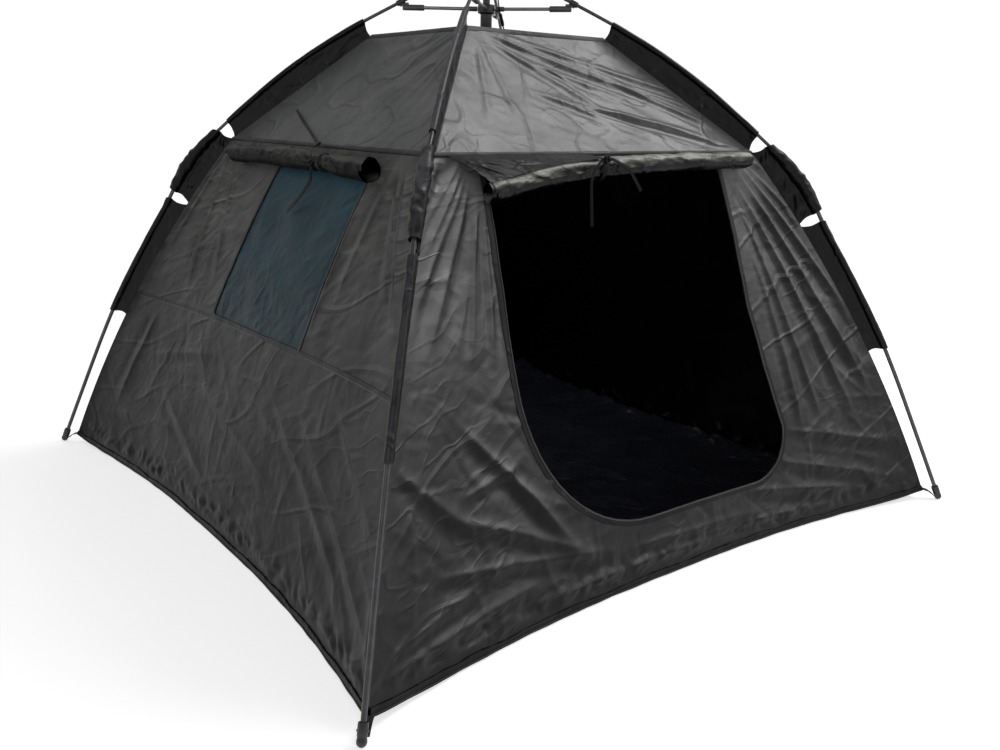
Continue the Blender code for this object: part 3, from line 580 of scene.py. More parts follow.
# Door flap fabric painted much darker than its roll: painted shade under the eave.
APRON = cloth("flap_cloth", (6, 6.1, 6.2), (16, 16.3, 16.5), 0.32, 1.5, 0.1)
GROUND = cloth("groundsheet_cloth", (2, 2.2, 3.4), (3.6, 4, 5.8), 0.25, 1.4, 0.6)
VENT = cloth("vent_mesh_cloth", (6, 6.5, 7.5), (10, 10.5, 12), 0.55, 0.4, 0.3)
PANE = cloth("window_mesh_cloth", (4.5, 15.5, 21.5), (6.5, 21.5, 30), 0.42, 0.35, 0.13, 1.0, 6.0,
             weave=300.0)
ROLLED = cloth("rolled_cloth", (24, 24, 21.5), (62, 62, 56), 0.26, 1.4, 0.14, 1.0, 5.4, facets=26.0)
# Dark window-cover cloth; its low base and strong lift give the roll painted shade underneath and a painted
# highlight on top.
ROLLED_DARK = cloth("rolled_dark_cloth", (5, 5.1, 4.6), (12, 12.1, 10.8), 0.38, 1.1, 0.03, 1.0, 9.0,
                    facets=24.0)
TAPE = cloth("tape_cloth", (6, 6, 6.3), (14, 14, 14.5), 0.55, 0.25, 0.12, weave=420.0, facets=60.0)
STEEL = hard("pole_tube", (60, 61, 64), 0.3, 0.6)
ROD = hard("strut_tube", (220, 222, 225), 0.34, 0.8)
DARK_TUBE = hard("post_tube", (22, 22, 24), 0.4)
PLASTIC = hard("moulded_plastic", (12, 12, 13), 0.42)
PLUG = hard("plug_plastic", (50, 50, 53), 0.45)


# One wall, with its opening cut out of its grid.
def wall_cloth(side, mat, hole, nx, ny, area):
    S, W = np.meshgrid(np.linspace(-1, 1, nx), np.linspace(0, 1, ny))
    faces = grid_faces(ny, nx)
    if hole is not None:
        S, W, keep = fit_hole(S, W, np.stack(wall_coords(side, hole[:, 0], hole[:, 1]), -1))
        faces = faces[keep]
    points, faces = drop_loose(on_wall(side, S, W).reshape(-1, 3), faces)
    panel(side + "_wall_cloth", points, mat, [side + "_wall"], "shell_fabric", faces,
          flat=(2.1, 1.18), held="stretched", rests_on=["floor"], area=area)


def in_polygon(x, y, poly):
    hit = np.zeros(x.shape, bool)
    for (x1, y1), (x2, y2) in zip(poly, np.roll(poly, -1, axis=0)):
        if y1 != y2:
            cross = (x2 - x1) * (y - y1) / (y2 - y1) + x1
            hit ^= ((y1 > y) != (y2 > y)) & (x < cross)
    return hit


# Move the grid points next to the outline onto it and drop the cells inside.
def fit_hole(S, W, poly):
    step = np.array((S[0, 1] - S[0, 0], W[1, 0] - W[0, 0]))
    px, py = S / step[0], W / step[1]
    best = np.full(S.shape, np.inf)
    bx, by = px, py
    ends = poly / step
    for (ax, ay), (cx, cy) in zip(ends, np.roll(ends, -1, axis=0)):
        length = (cx - ax) ** 2 + (cy - ay) ** 2
        if length < SMALL ** 2:
            continue
        t = np.clip(((px - ax) * (cx - ax) + (py - ay) * (cy - ay)) / length, 0, 1)
        qx = ax + t * (cx - ax)
        qy = ay + t * (cy - ay)
        d = np.hypot(px - qx, py - qy)
        closer = d < best
        best, bx, by = (np.where(closer, new, old) for new, old in ((d, best), (qx, bx), (qy, by)))
    snap = best < SNAP_CELLS
    cx, cy = ((G[:-1, :-1] + G[:-1, 1:] + G[1:, 1:] + G[1:, :-1]) / 4 for G in (S, W))
    keep = ~in_polygon(cx, cy, poly)
    return np.where(snap, bx * step[0], S), np.where(snap, by * step[1], W), keep.reshape(-1)


# Opening with two edges given top to sill and a rounded corner at each end of the sill.
def outline(left, right, left_corner, right_corner):
    left = np.array(left)[::-1]
    right = np.array(right)[::-1]
    sill = right[0, 1]
    z_left = sill + left_corner
    z_right = sill + right_corner
    x_left = np.interp(z_left, left[:, 1], left[:, 0])
    x_right = np.interp(z_right, right[:, 1], right[:, 0])
    ang = np.linspace(0, math.pi / 2, 15)
    down = np.linspace(right[-1, 1], z_right, 24)[:-1]
    up = np.linspace(z_left, left[-1, 1], 24)[1:]
    low = np.linspace(x_right - right_corner, x_left + left_corner, 20)[1:-1]
    runs = [(np.interp(down, right[:, 1], right[:, 0]), down),
            (x_right - right_corner * (1 - np.cos(ang)), z_right - right_corner * np.sin(ang)),
            (low, np.full_like(low, sill)),
            (x_left + left_corner * (1 - np.sin(ang)), z_left - left_corner * np.cos(ang)),
            (np.interp(up, left[:, 1], left[:, 0]), up)]
    return np.concatenate([np.stack(run, -1) for run in runs])


# The opening's outline with points along its straight top too.
def close_top(points):
    a, b = points[-1], points[0]
    return np.concatenate([points, [a + (b - a) * f for f in np.linspace(0, 1, 20)[1:-1]]])


DOOR = outline([(-0.452, 1.058), (-0.48, 0.847), (-0.495, 0.7), (-0.497, 0.172)],
               [(0.412, 1.058), (0.394, 0.8), (0.394, 0.66), (0.428, 0.47), (0.47, 0.316),
                (0.494, 0.172)], 0.4, 0.14)
WINDOW = outline([(-0.175, 1.045), (-0.29, 0.585)], [(0.338, 1.045), (0.28, 0.585)], 0.012, 0.012)


# Flat strip laid on a wall along a path of its plan, with a soft edge.
def strip(build, side, path, width, lift, mat, thick, rise=0.0):
    tan = tangents(path)
    nor = np.stack([-tan[:, 1], tan[:, 0]], -1)
    rows = []
    for off, up in ((-0.5, -0.5 * thick), (-0.47, thick), (-0.25, thick + rise), (0.25, thick + rise),
                    (0.47, thick), (0.5, -0.5 * thick)):
        q = path + nor * width * off
        rows.append(at_wall(side, q[:, 0], np.clip(q[:, 1], 0.005, SEAM_Z - 0.0005), lift + up))
    build.grid(np.stack(rows, 1), False, mat)


# Camera solved from the photograph: place, angles in degrees, and focal length in its pixels.
def camera():
    where = Vector((-1.872901, -2.495752, 1.194613))
    yaw, pitch, roll = (math.radians(angle) for angle in (38.15, 15.33, 1.36))
    focal, photo_width, sensor = 950.6, 1000.0, 36.0
    f = Vector((math.sin(yaw) * math.cos(pitch), math.cos(yaw) * math.cos(pitch), -math.sin(pitch)))
    r = Vector((math.cos(yaw), -math.sin(yaw), 0))
    u = r.cross(f)
    right = math.cos(roll) * r + math.sin(roll) * u
    up = -math.sin(roll) * r + math.cos(roll) * u
    data = bpy.data.cameras.new("photo_camera")
    data.sensor_width = sensor
    data.lens = focal * sensor / photo_width
    obj = bpy.data.objects.new("photo_camera", data)
    obj.matrix_world = Matrix.Translation(where) @ Matrix((right, up, -f)).transposed().to_4x4()
    bpy.context.scene.collection.objects.link(obj)
    bpy.context.scene.camera = obj


def area_light(name, where, target, size, power):
    data = bpy.data.lights.new(name, "AREA")
    data.shape = "RECTANGLE"
    data.size, data.size_y = size
    data.energy = power
    obj = bpy.data.objects.new(name, data)
    obj.location = where
    obj.rotation_euler = (Vector(target) - Vector(where)).to_track_quat("-Z", "Y").to_euler()
    bpy.context.scene.collection.objects.link(obj)


# The world is white low down, where the floor ends, and dimmer above, so that the key light
# models the cloth.
def studio_world():
    world = bpy.data.worlds.new("studio")
    g = Graph(world)
    strength = g.ramp(g.height(g.coord("Generated")), 1.02, 0.3, 0.145, 0.28)
    g.fill(g.nodes["Background"], {"Strength": strength, "Color": (1.0, 1.0, 1.0, 1)})
    return world


def studio():
    scene = bpy.context.scene
    scene.view_settings.view_transform = "Standard"
    scene.world = studio_world()
    g = Graph(bpy.data.materials.new("studio_floor"))
    reach = g.add("VectorMath", {0: g.coord()}, "Value", operation="LENGTH")
    mat = g.shade(Base_Color=(0.86, 0.86, 0.86, 1), Roughness=0.95, Specular_IOR_Level=0.0,
                  Emission_Color=(1, 1, 1, 1), Emission_Strength=g.ramp(reach, 0.62, 0.8, 2.0, 12.0))
    verts = [(x * STAGE_REACH, y * STAGE_REACH, STAGE_Z) for x, y in ((-1, -1), (1, -1), (1, 1), (-1, 1))]
    new_object("studio_floor", verts, [(0, 1, 2, 3)], [mat])
    area_light("key", (3.6, -1.3, 5.6), (0, -0.2, 1.1), (3.0, 3.0), 152)
    area_light("front_fill", (3.6, -5.4, 3.2), (0, -0.3, 0.6), (1.6, 1.4), 46)
    area_light("side_rim", (-4.2, -3.0, 3.2), (-0.7, -0.9, 0.8), (1.6, 1.4), 20)
    area_light("inside", (0.1, 0.3, 1.18), (0.55, 0.75, 0.0), (0.14, 0.14), 7.0)


camera()
studio()


def body_panels():
    wall_cloth("front", FRONT, close_top(DOOR), 380, 210, 1.15)
    wall_cloth("left", LEFT, close_top(WINDOW), 360, 200, 1.66)
    wall_cloth("back", BACK, None, 220, 120, 1.93)
    wall_cloth("right", RIGHT, None, 220, 120, 1.93)


ROOF_BOX = (-0.6, 0.6, 0.0, ROOF_HEIGHT)
# Each roof panel's noise seed, how strong its folds are, and how its short creases lean.
ROOF_SIDES = {"front": (31.0, 1.0, -0.5), "right": (39.0, 0.8, 0.55), "back": (35.0, 0.8, -0.5),
              "left": (33.0, 0.45, 0.45)}
ROOF_SHORT = {side: Creases(300 + k, 230, ROOF_BOX, (0.05, 0.2), (0.005, 0.011), (0.0008, 0.0026),
                            ROOF_SIDES[side][2], 0.16) for k, side in enumerate(SIDES)}
ROOF_FOLDS = [
    (-214, 452, 300, 215, 12, 7.5), (-190, 457, 520, 205, 13, 6), (-215, 433, 80, 160, 10, 4.5),
    (-237, 415, -253, 117, 10, 2.2), (-255, 394, -356, 115, 10, 2.2), (29, 359, 490, 160, 10, 5),
    (-126, 347, 270, 190, 10, 4.5), (-62, 196, 411, 69, 10, 5), (69, 162, 500, 29, 10, 5),
    (-153, 230, 175, 86, 9, 4), (150, 300, 480, 110, 10, 4.5)]


# Half side and height of the roof at v, from 0 at the seam to 1 at the rim.
def roof_line(v):
    return SEAM_HALF + (RIM_HALF - SEAM_HALF) * v, SEAM_Z + (RIM_Z - SEAM_Z) * v


def roof_relief(side, s, v):
    along = s * roof_line(v)[0]
    up = v * ROOF_HEIGHT
    seed, strong, _ = ROOF_SIDES[side]
    d = crinkle(along, up, seed) * 0.7
    d = d + ROOF_SHORT[side](along, up) * strong * (0.25 + 0.75 * smooth(-0.3, 0.05, along))
    if side == "left":
        return d + fan(along, up, (0.3, 0.5), 5.0, 0.06, 0.9, 0.004, seed)
    return folds(d, along, up, ROOF_FOLDS, strong, 0.2, 1.3)


def roof_point(side, s, v, lift=0.0):
    half, z = roof_line(v)
    sag = SEAM_IN * (1 - v) + 0.004 * v + 0.05 * v * (1 - v)
    out = half - sag * (1 - s * s)
    edge = smooth(1.0, 0.94, np.abs(s)) * (0.25 + 0.75 * smooth(0, 0.06, v))
    edge = edge * (0.2 + 0.8 * smooth(1.0, 0.95, v))
    d = roof_relief(side, s, v) * edge + lift
    return place(side, s * half, out, z) + d[..., None] * outward(side, ROOF_SLOPE)


def roof_cloth():
    S, V = np.meshgrid(np.linspace(-1, 1, 140)[:-1], np.linspace(0, 1, 80))
    points = np.concatenate([roof_point(side, S, V) for side in SIDES], 1)
    panel("roof_cloth", points, ROOF, ["roof"], "shell_fabric", wrap=True,
          flat=(4.73, 0.47), held="stretched", rests_on=["front_wall_cloth"], area=1.56)


def vent_cloth():
    half = RIM_HALF - 0.003
    S, T = np.meshgrid(*[np.linspace(-1, 1, 61)] * 2)
    z = RIM_Z - 0.001 - 0.042 * (1 - S ** 2) * (1 - T ** 2) + 0.0015 * crease(NB, S * 4, T * 4, 0.06)
    x = S * (half - 0.004 * (1 - T ** 2))
    y = T * (half - 0.004 * (1 - S ** 2))
    panel("top_vent_cloth", np.stack([x, y, z], -1), VENT, ["top_mesh"], "window_mesh",
          flat=(0.51, 0.51), held="stretched", rests_on=["roof_cloth"])


GROUND_CREASES = Creases(501, 520, (-1.0, 1.0, -1.0, 1.0), (0.05, 0.3), (0.006, 0.018), (0.0015, 0.006))


def ground_cloth():
    S, T = np.meshgrid(*[np.linspace(-1, 1, 190)] * 2)
    x = S * (FLOOR_HALF - HEM["left"] * (1 - np.abs(T) ** HEM_POWER) + 0.001)
    y = T * (FLOOR_HALF - HEM["front"] * (1 - np.abs(S) ** HEM_POWER) + 0.001)
    crumple = 0.004 * np.abs(fbm(NA, x * 5, y * 5)) + GROUND_CREASES(x, y)
    rim = np.maximum(smooth(0.86, 0.97, np.abs(T)), smooth(0.86, 0.97, np.abs(S)))
    puff = 0.03 * rim * np.abs(NB(x * 9, y * 9)) + 0.012 * rim * np.abs(NC(x * 24, y * 24))
    edge = smooth(1.0, 0.985, np.abs(S)) * smooth(1.0, 0.985, np.abs(T))
    z = 0.004 + 0.026 * np.abs(S) ** 8 * np.abs(T) ** 8 + (np.maximum(crumple, -0.003) + puff) * edge
    z = np.maximum(z - 0.0018 * edge, 0.0006)
    panel("groundsheet_cloth", np.stack([x, y, z], -1), GROUND, ["floor"], "groundsheet",
          flat=(2.1, 2.1), held="laid", rests_on=[], area=4.05)


PANE_CREASES = Creases(401, 150, (-0.3, 0.32, 0.585, 0.8), (0.02, 0.1), (0.003, 0.007), (0.0008, 0.0026),
                        1.35, 0.35)


def window_pane():
    f = np.linspace(0, 1, 90)[:, None]
    g = np.linspace(0, 1, 110)[None, :]
    z = 0.5835 + 0.463 * f + 0.0 * g
    left = -0.2915 + 0.118 * f
    right = 0.2815 + 0.058 * f
    a = left + (right - left) * g
    edge = np.minimum(smooth(0.0, 0.06, g) * smooth(1.0, 0.94, g), smooth(0.0, 0.05, f))
    slack = 0.003 * fbm(NA, a * 5 + 3, z * 5) * smooth(1.05, 0.7, z)
    slack = slack + PANE_CREASES(a, z) * smooth(0.78, 0.66, z)
    points = at_wall("left", a, z, -0.0016) + (slack * edge)[..., None] * outward("left", WALL_SLOPE)
    panel("window_pane", points, PANE, ["window_mesh"], "window_mesh",
          flat=(0.6, 0.48), held="stretched", rests_on=["left_wall_cloth"], area=0.27)


def trims():
    b = Build()
    strip(b, "front", offset_path(DOOR, 0.009), 0.018, 0.0006, 0, 0.001)
    strip(b, "front", offset_path(DOOR, 0.003), 0.0044, 0.0018, 1, 0.001, 0.0008)
    strip(b, "left", offset_path(WINDOW, 0.005), 0.012, 0.0012, 0, 0.0008)
    a = np.linspace(-0.845, 0.845, 170)
    line = np.stack([a, 0.58 + 0.015 * a], -1)
    strip(b, "left", line, 0.011, 0.0008, 0, 0.001)
    strip(b, "left", line - (0.0, 0.006), 0.0022, 0.0012, 1, 0.0005)
    b.done("wall_trims", [SHELL_EDGE, PLASTIC], 60, [], "webbing")


def offset_path(path, out):
    tan = tangents(path)
    nor = np.stack([tan[:, 1], -tan[:, 0]], -1)
    flip = np.sign(((path - path.mean(0)) * nor).sum(1).mean())
    return path + nor * out * flip


# Eave band over the seam, its drip edge, and the band round the square rim.
def seam_bands():
    b = Build()
    s = np.linspace(-1, 1, 160)
    below = ((0.9925, 0.0008), (0.9935, 0.0022), (1.0, 0.0026))
    above = ((0.01, 0.0024), (0.0115, 0.0008))
    rim = ((0.965, 0.0003), (0.968, 0.0011), (0.998, 0.0013))
    for side in SIDES:
        level = outward(side, 0.0)
        rows = [on_wall(side, s, w, lift) for w, lift in below]
        b.grid(np.stack(rows + [roof_point(side, s, v, lift) for v, lift in above], 1))
        lip = roof_point(side, s, 0.004, 0.0024)
        drop = level * 0.005 - (0, 0, 0.0065)
        b.grid(np.stack([lip, lip + drop, lip + drop - (0, 0, 0.0012), lip - (0, 0, 0.004)], 1))
        top = roof_point(side, s, 1.0)
        rows = [roof_point(side, s, v, lift) for v, lift in rim]
        b.grid(np.stack(rows + [top + (0, 0, 0.0022), top - level * 0.003 + (0, 0, 0.001)], 1))
    b.done("seam_bands", [SHELL_EDGE], 60, [], "shell_fabric")


# Groundsheet's turned-up edge below the wall, with a piped bottom.
def hem_band():
    b = Build()
    s = np.linspace(-0.998, 0.998, 420)
    for side in SIDES:
        level = outward(side, 0.0)
        wobble = 0.0022 * NA(s * 14 + 3, HEM[side] * 70)[:, None] * level
        rise = 0.0115 + 0.004 * NB(s * 16 + HEM[side] * 90, 0.5)
        pucker = 0.0022 * crease(NC, s * 34, HEM[side] * 50, 0.08)
        rows = []
        for share, lift in ((0.0, 0.003), (0.35, 0.0046), (0.75, 0.0042), (0.97, 0.003), (1.0, 0.0004)):
            rows.append(on_wall(side, s, rise * share, lift + pucker * share) + wobble * (share < 0.1))
        b.grid(np.stack(rows, 1))
        path = on_wall(side, s, 0.0, 0.0032) + wobble
        path[:, 2] = np.maximum(path[:, 2], 0.0036)
        b.tube(path, PIPING_R, 8)
    b.done("hem_band", [SHELL_EDGE], 60, [], "groundsheet")


# Smooth curve through the keys, at t counted in keys.
def curve(keys, t):
    t = np.atleast_1d(np.asarray(t, float))
    n = len(keys) - 1
    i = np.clip(np.floor(t).astype(int), 0, n - 1)
    f = (t - i)[:, None]
    p0, p1, p2, p3 = (keys[np.clip(i + k, 0, n)] for k in (-1, 0, 1, 2))
    return ((2 * f ** 3 - 3 * f ** 2 + 1) * p1 + (f ** 3 - 2 * f ** 2 + f) * (p2 - p0) / 2
            + (-2 * f ** 3 + 3 * f ** 2) * p2 + (f ** 3 - f ** 2) * (p3 - p1) / 2)


FINE_T = np.linspace(0, len(POLE_KEYS) - 1, 1500)
FINE_P = curve(POLE_KEYS, FINE_T)


def pole_t(z):
    return float(np.interp(-z, -FINE_P[:, 1], FINE_T))


# Points in the tent's frame from places in a pole's own plane.
def lift_points(sign, pts):
    pts = np.atleast_2d(pts)
    return np.stack([sign[0] * pts[:, 0], sign[1] * pts[:, 0], pts[:, 1]], -1)


def on_pole(sign, t):
    points = lift_points(sign, curve(POLE_KEYS, t))
    return points if np.ndim(t) else points[0]


def unit(v):
    return v / np.linalg.norm(v)


def sideways(sign):
    return np.array((-sign[1], sign[0], 0)) / math.sqrt(2)


def pole_pieces(tag, sign):
    side = sideways(sign)

    b = Build()
    b.tube(on_pole(sign, np.linspace(0.04, pole_t(KNEE_Z + 0.004), 60)), POLE_UP_R, 20)
    tee = on_pole(sign, 2.0)
    along = unit(on_pole(sign, 2.1) - on_pole(sign, 1.9))
    b.lathe([(5.2, -13.5), (7.8, -13), (8.5, -11.5), (8.5, 11.5), (7.8, 13), (5.2, 13.5)],
            tee, along, 28, 1)
    down = unit(np.cross(along, np.cross((0, 0, -1.0), along)))
    b.block(tee + down * 0.0085, (0.014, 0.009, 0.008), along, down, 0.0015, 1)
    b.done("pole_upper_" + tag, [STEEL, PLASTIC], 50, ["upper_pole_" + tag], "pole_metal")

    b = Build()
    knee = pole_t(KNEE_Z)
    last = len(POLE_KEYS) - 1
    b.tube(on_pole(sign, np.linspace(knee + 0.3, last, 90)), POLE_LOW_R, 22)
    first = on_pole(sign, knee)
    b.lathe([(5.2, 0), (8.8, 0.3), (9.5, 1.8), (9.5, 60), (8.8, 63.2), (6.4, 64)], first,
            unit(on_pole(sign, knee + 0.5) - first), 28, 1)
    b.done("pole_lower_" + tag, [STEEL, PLASTIC], 50, ["lower_pole_" + tag], "pole_metal")

    b = Build()
    end = on_pole(sign, last)
    up = unit(on_pole(sign, last - 0.5) - end)
    profile = [(11 * math.sin(a), -11 * math.cos(a)) for a in np.linspace(0.0, math.pi / 2, 8)]
    profile += [(11, 4), (10.3, 6), (10.3, 10), (11, 12), (11, 34), (10.2, 37.5), (8.8, 38), (6.4, 37.8),
                (6.4, 30)]
    b.lathe(profile, end, up, 28)
    b.pin(end + up * 0.021, side * 0.0125, 0.0022, 1)
    b.done("foot_cup_" + tag, [PLASTIC, STEEL], 50, ["foot_" + tag], "black_plastic")

    b = Build()
    a, e = lift_points(sign, [(0.0193, STRUT_Z), (0.1855, STRUT_Z + 0.0024)])
    d = unit(e - a)
    full = float(np.linalg.norm(e - a))
    b.tube([a + d * 0.026, a + d * (full - 0.05)], 0.005, 20)
    b.lathe([(2, 0), (6.6, 0.6), (7.2, 2), (7.2, 26), (6.4, 28.4), (5, 28.5)], a, d, 24, 1)
    b.lathe([(5.1, -0.3), (8.2, 0.8), (8.8, 3), (8.8, 64.3), (8, 67.2), (0.8, 68)], e - d * 0.068, d, 28, 1)
    fork = e - d * 0.0115
    b.block(fork + (0, 0, 0.0075), (0.015, 0.0085, 0.0135), d, (0, 0, 1), 0.0018, 1)
    b.pin(fork + (0, 0, 0.01), side * -0.0062, 0.0022, 2)
    b.done("strut_rod_" + tag, [ROD, PLUG, STEEL], 50, ["strut_" + tag], "pole_metal")


def centre_pieces():
    b = Build()
    b.lathe([(0, -0.2), (17, -0.2), (19.5, 1.5), (24, 3), (28, 4), (30, 6.5), (30, 19.5),
             (28.8, 22.5), (24, 26.2), (22.5, 33), (15, 37.2), (6, 38), (0, 38)], (0, 0, HUB_Z), UP, 40)
    for sign in CORNERS.values():
        side = sideways(sign)
        out = np.cross(side, UP)
        for k in (-1, 1):
            b.block(out * 0.0325 + side * 0.0078 * k + (0, 0, HUB_Z + 0.0125), (0.013, 0.0035, 0.016), out,
                    (0, 0, 1), 0.001)
        b.pin(out * 0.035 + (0, 0, HUB_Z + 0.01), side * 0.0108, 0.002, 1)
    b.done("hub_cap", [PLASTIC, STEEL], 50, ["top_hub"], "black_plastic")

    b = Build()
    b.lathe([(0, 0), (9.5, 0), (11, 1.5), (11, 210)], (0, 0, POST_FOOT_Z), UP, 32)
    b.done("post_tube_piece", [DARK_TUBE], 50, ["centre_post"], "pole_metal")

    b = Build()
    b.lathe([(11.3, -92), (16.8, -92), (17.8, -90.5), (17.8, -16), (21.5, -13.5), (25.5, -12.5), (26.2, -11),
             (26.2, 10.5), (25, 12), (14, 13.5), (11.3, 14)], (0, 0, STRUT_Z), UP, 40)
    b.done("slider_collar", [PLASTIC], 50, ["slider"], "black_plastic")


# Sleeve round the pole with its web down to the body's corner. Its two ends are cut to hollow curves.
def sleeve_cloth(name, node, sign, z_pole, inner, girth, seed, slack, hollow, **cut):
    f = np.linspace(0, 1, 64)
    P = on_pole(sign, np.interp(f, (0, 1), [pole_t(z) for z in z_pole]))
    e = lift_points(sign, inner(f)) - P
    reach = np.linalg.norm(e, axis=1)
    e /= reach[:, None]
    side = sideways(sign)
    big = np.interp(f, np.linspace(0, 1, len(girth)), girth) * (1 + 0.1 * slack * NA(f * 9 + seed, 1.5))
    F, U = np.meshgrid(f, np.arange(14) / 14, indexing="ij")
    x = reach[:, None] * (1 - U) + 0.97 * big[:, None] * U
    bow = np.sin(np.pi * U)
    wig = slack * bow * (0.004 * NB(F * 5 + seed * 2.3, U * 1.6 + seed)
                         + 0.005 * crease(NC, F * 8 + seed + U * 1.6, U * 0.7 + seed, 0.05))
    f = f[:, None]
    G = np.radians(np.linspace(14, 346, 29)) + 0 * f
    rr = big[:, None] * (1 + 0.07 * slack * NC(f * 6 + seed, G * 0.9)
                         + 0.08 * slack * crease(NB, f * 8 + seed + 0.25 * G, G * 0.35, 0.06))
    X = np.concatenate([x, rr * np.cos(G), x[:, ::-1]], 1)
    Y = np.concatenate([wig + 0.0012, rr * np.sin(G), (wig - 0.0012)[:, ::-1]], 1)
    B = np.concatenate([bow, 0 * G, bow[:, ::-1]], 1)
    ends = smooth(0.22, 0.0, f) - smooth(0.78, 1.0, f)
    points = P[:, None, :] + e[:, None, :] * X[..., None] + side * Y[..., None]
    points = points + (hollow * B * ends)[..., None] * tangents(P)[:, None, :]
    panel(name, points, SLEEVE, [node], "sleeve_fabric", held="stretched", **cut)


# Lines that the webs are sewn to: the roof's edge for the upper sleeve, the walls' corner below.
def upper_inner(f):
    half, z = roof_line(0.985 - 0.981 * f)
    return np.stack([half - 0.004, z], -1)


def corner_inner(w0, w1):
    def inner(f):
        half, z = corner(w0 + (w1 - w0) * f)
        return np.stack([half - 0.004, z], -1)
    return inner


def sleeves(tag, sign, k):
    upper, lower = ["pole_upper_" + tag], ["pole_lower_" + tag]
    sleeve_cloth("sleeve_upper_" + tag, "upper_sleeve_" + tag, sign, (1.466, 1.152), upper_inner,
                 [0.0085, 0.0085], 1.0 + k, 0.8, 0.004, flat=(0.5, 0.18), rests_on=upper, area=0.088)
    sleeve_cloth("sleeve_knee_" + tag, "knee_cover_" + tag, sign, (1.12, 0.926), corner_inner(0.998, 0.779),
                 [0.015, 0.0185, 0.0195, 0.019, 0.015], 11.0 + k, 1.6, 0.006,
                 flat=(0.24, 0.24), rests_on=lower, area=0.055)
    sleeve_cloth("sleeve_lower_" + tag, "lower_sleeve_" + tag, sign, (0.896, 0.502),
                 corner_inner(0.775, 0.405), [0.0105, 0.01, 0.0105], 21.0 + k, 0.8, 0.006,
                 flat=(0.43, 0.17), rests_on=lower, area=0.07)


def straps(tag, sign):
    side = sideways(sign)
    keys = np.array([(1.05, 0.0335), (1.061, 0.029), (1.07, 0.021), (1.0768, 0.013)])
    f = np.linspace(0, 3, 16)
    P = lift_points(sign, np.stack([np.interp(f, range(4), keys[:, k]) for k in (0, 1)], -1))
    nor = np.cross(tangents(P), side)
    half = 0.0122
    ring = ((-1, -0.0009), (-1, 0.0009), (-0.9, 0.0011), (0.9, 0.0011), (1, 0.0009), (1, -0.0009),
            (0.9, -0.0011), (-0.9, -0.0011))
    b = Build()
    b.grid(np.stack([P + side * half * y + nor * h for y, h in ring], 1), True)
    b.done("strap_" + tag, [TAPE], 50, ["corner_strap_" + tag], "webbing")


def roll_axis(side, along, z):
    high = wall_plan(side, *wall_coords(side, along, 1.09))
    low = wall_plan(side, *wall_coords(side, along, 1.0))
    slope = (low[1] - high[1]) / (high[2] - low[2])
    here = wall_plan(side, *wall_coords(side, along, np.minimum(z, 1.09)))
    return place(side, along, here[1] + ROLL_R * np.sqrt(1 + slope ** 2) + 0.0007, z)


# Sheet wound into a spiral, slack and wrinkled, drawn in where its tie goes round.
def rolled(name, node, side, keys, turns, seed, tie_at, pinch, mat, taper, flare, **cut):
    keys = np.array(keys)
    along = np.linspace(keys[0, 0], keys[-1, 0], 190)
    z = np.interp(along, keys[:, 0], keys[:, 1])
    z = np.convolve(np.pad(z, 9, mode="edge"), np.ones(19) / 19, mode="valid")
    P = roll_axis(side, along, z)
    pitch = 0.0022
    A, T = np.meshgrid(along, np.linspace(0, turns * 2 * np.pi, int(turns * 44)), indexing="ij")
    F = (A - along[0]) / (along[-1] - along[0])
    outer = smooth(7.0, 0.0, T)
    R = ROLL_R - 0.0012 - pitch * T / (2 * np.pi)
    lump = 0.003 * fbm(NA, A * 6 + seed, np.cos(T) * 1.1 + seed)
    twist = 0.0052 * crease(NB, A * 11 + T * 0.45, np.sin(T) * 0.9 + seed + A * 3, 0.05) * outer
    fine = 0.0016 * crease(NC, A * 30 + T * 0.9, np.sin(T) * 2.0 + seed, 0.07) * outer
    near_tie, pleated, drawn = (np.exp(-((A - tie_at) / reach) ** 2) for reach in (0.02, 0.07, 0.045))
    pleat = 0.0022 * np.cos(T * 5 + seed) * pleated
    R = (R + (lump + twist + fine) * (1 - 0.8 * near_tie) + pleat - 0.0016) * (1 - (1 - pinch) * drawn)
    R = R * (1 - taper[0] * (1 - F) ** 2 - taper[1] * F ** 2)
    R = R * (1 + flare[0] * np.exp(-F / 0.035) + flare[1] * np.exp(-(1 - F) / 0.035))
    flat = 1.0 - 0.06 * np.cos(2 * T)
    X = P[:, None, :] + (R * np.cos(T) * flat)[..., None] * outward(side, 0.0)
    X = X + (R * np.sin(T))[..., None] * UP
    ends = np.sign(F - 0.5) * np.abs(2 * F - 1) ** 8
    slide = ends * (0.01 * np.sin(T * 0.37 + seed) - 0.0012 * T / np.pi)
    X = X + slide[..., None] * unit(P[-1] - P[0])
    panel(name, X, mat, [node], "roll_fabric", held="gathered", **cut)


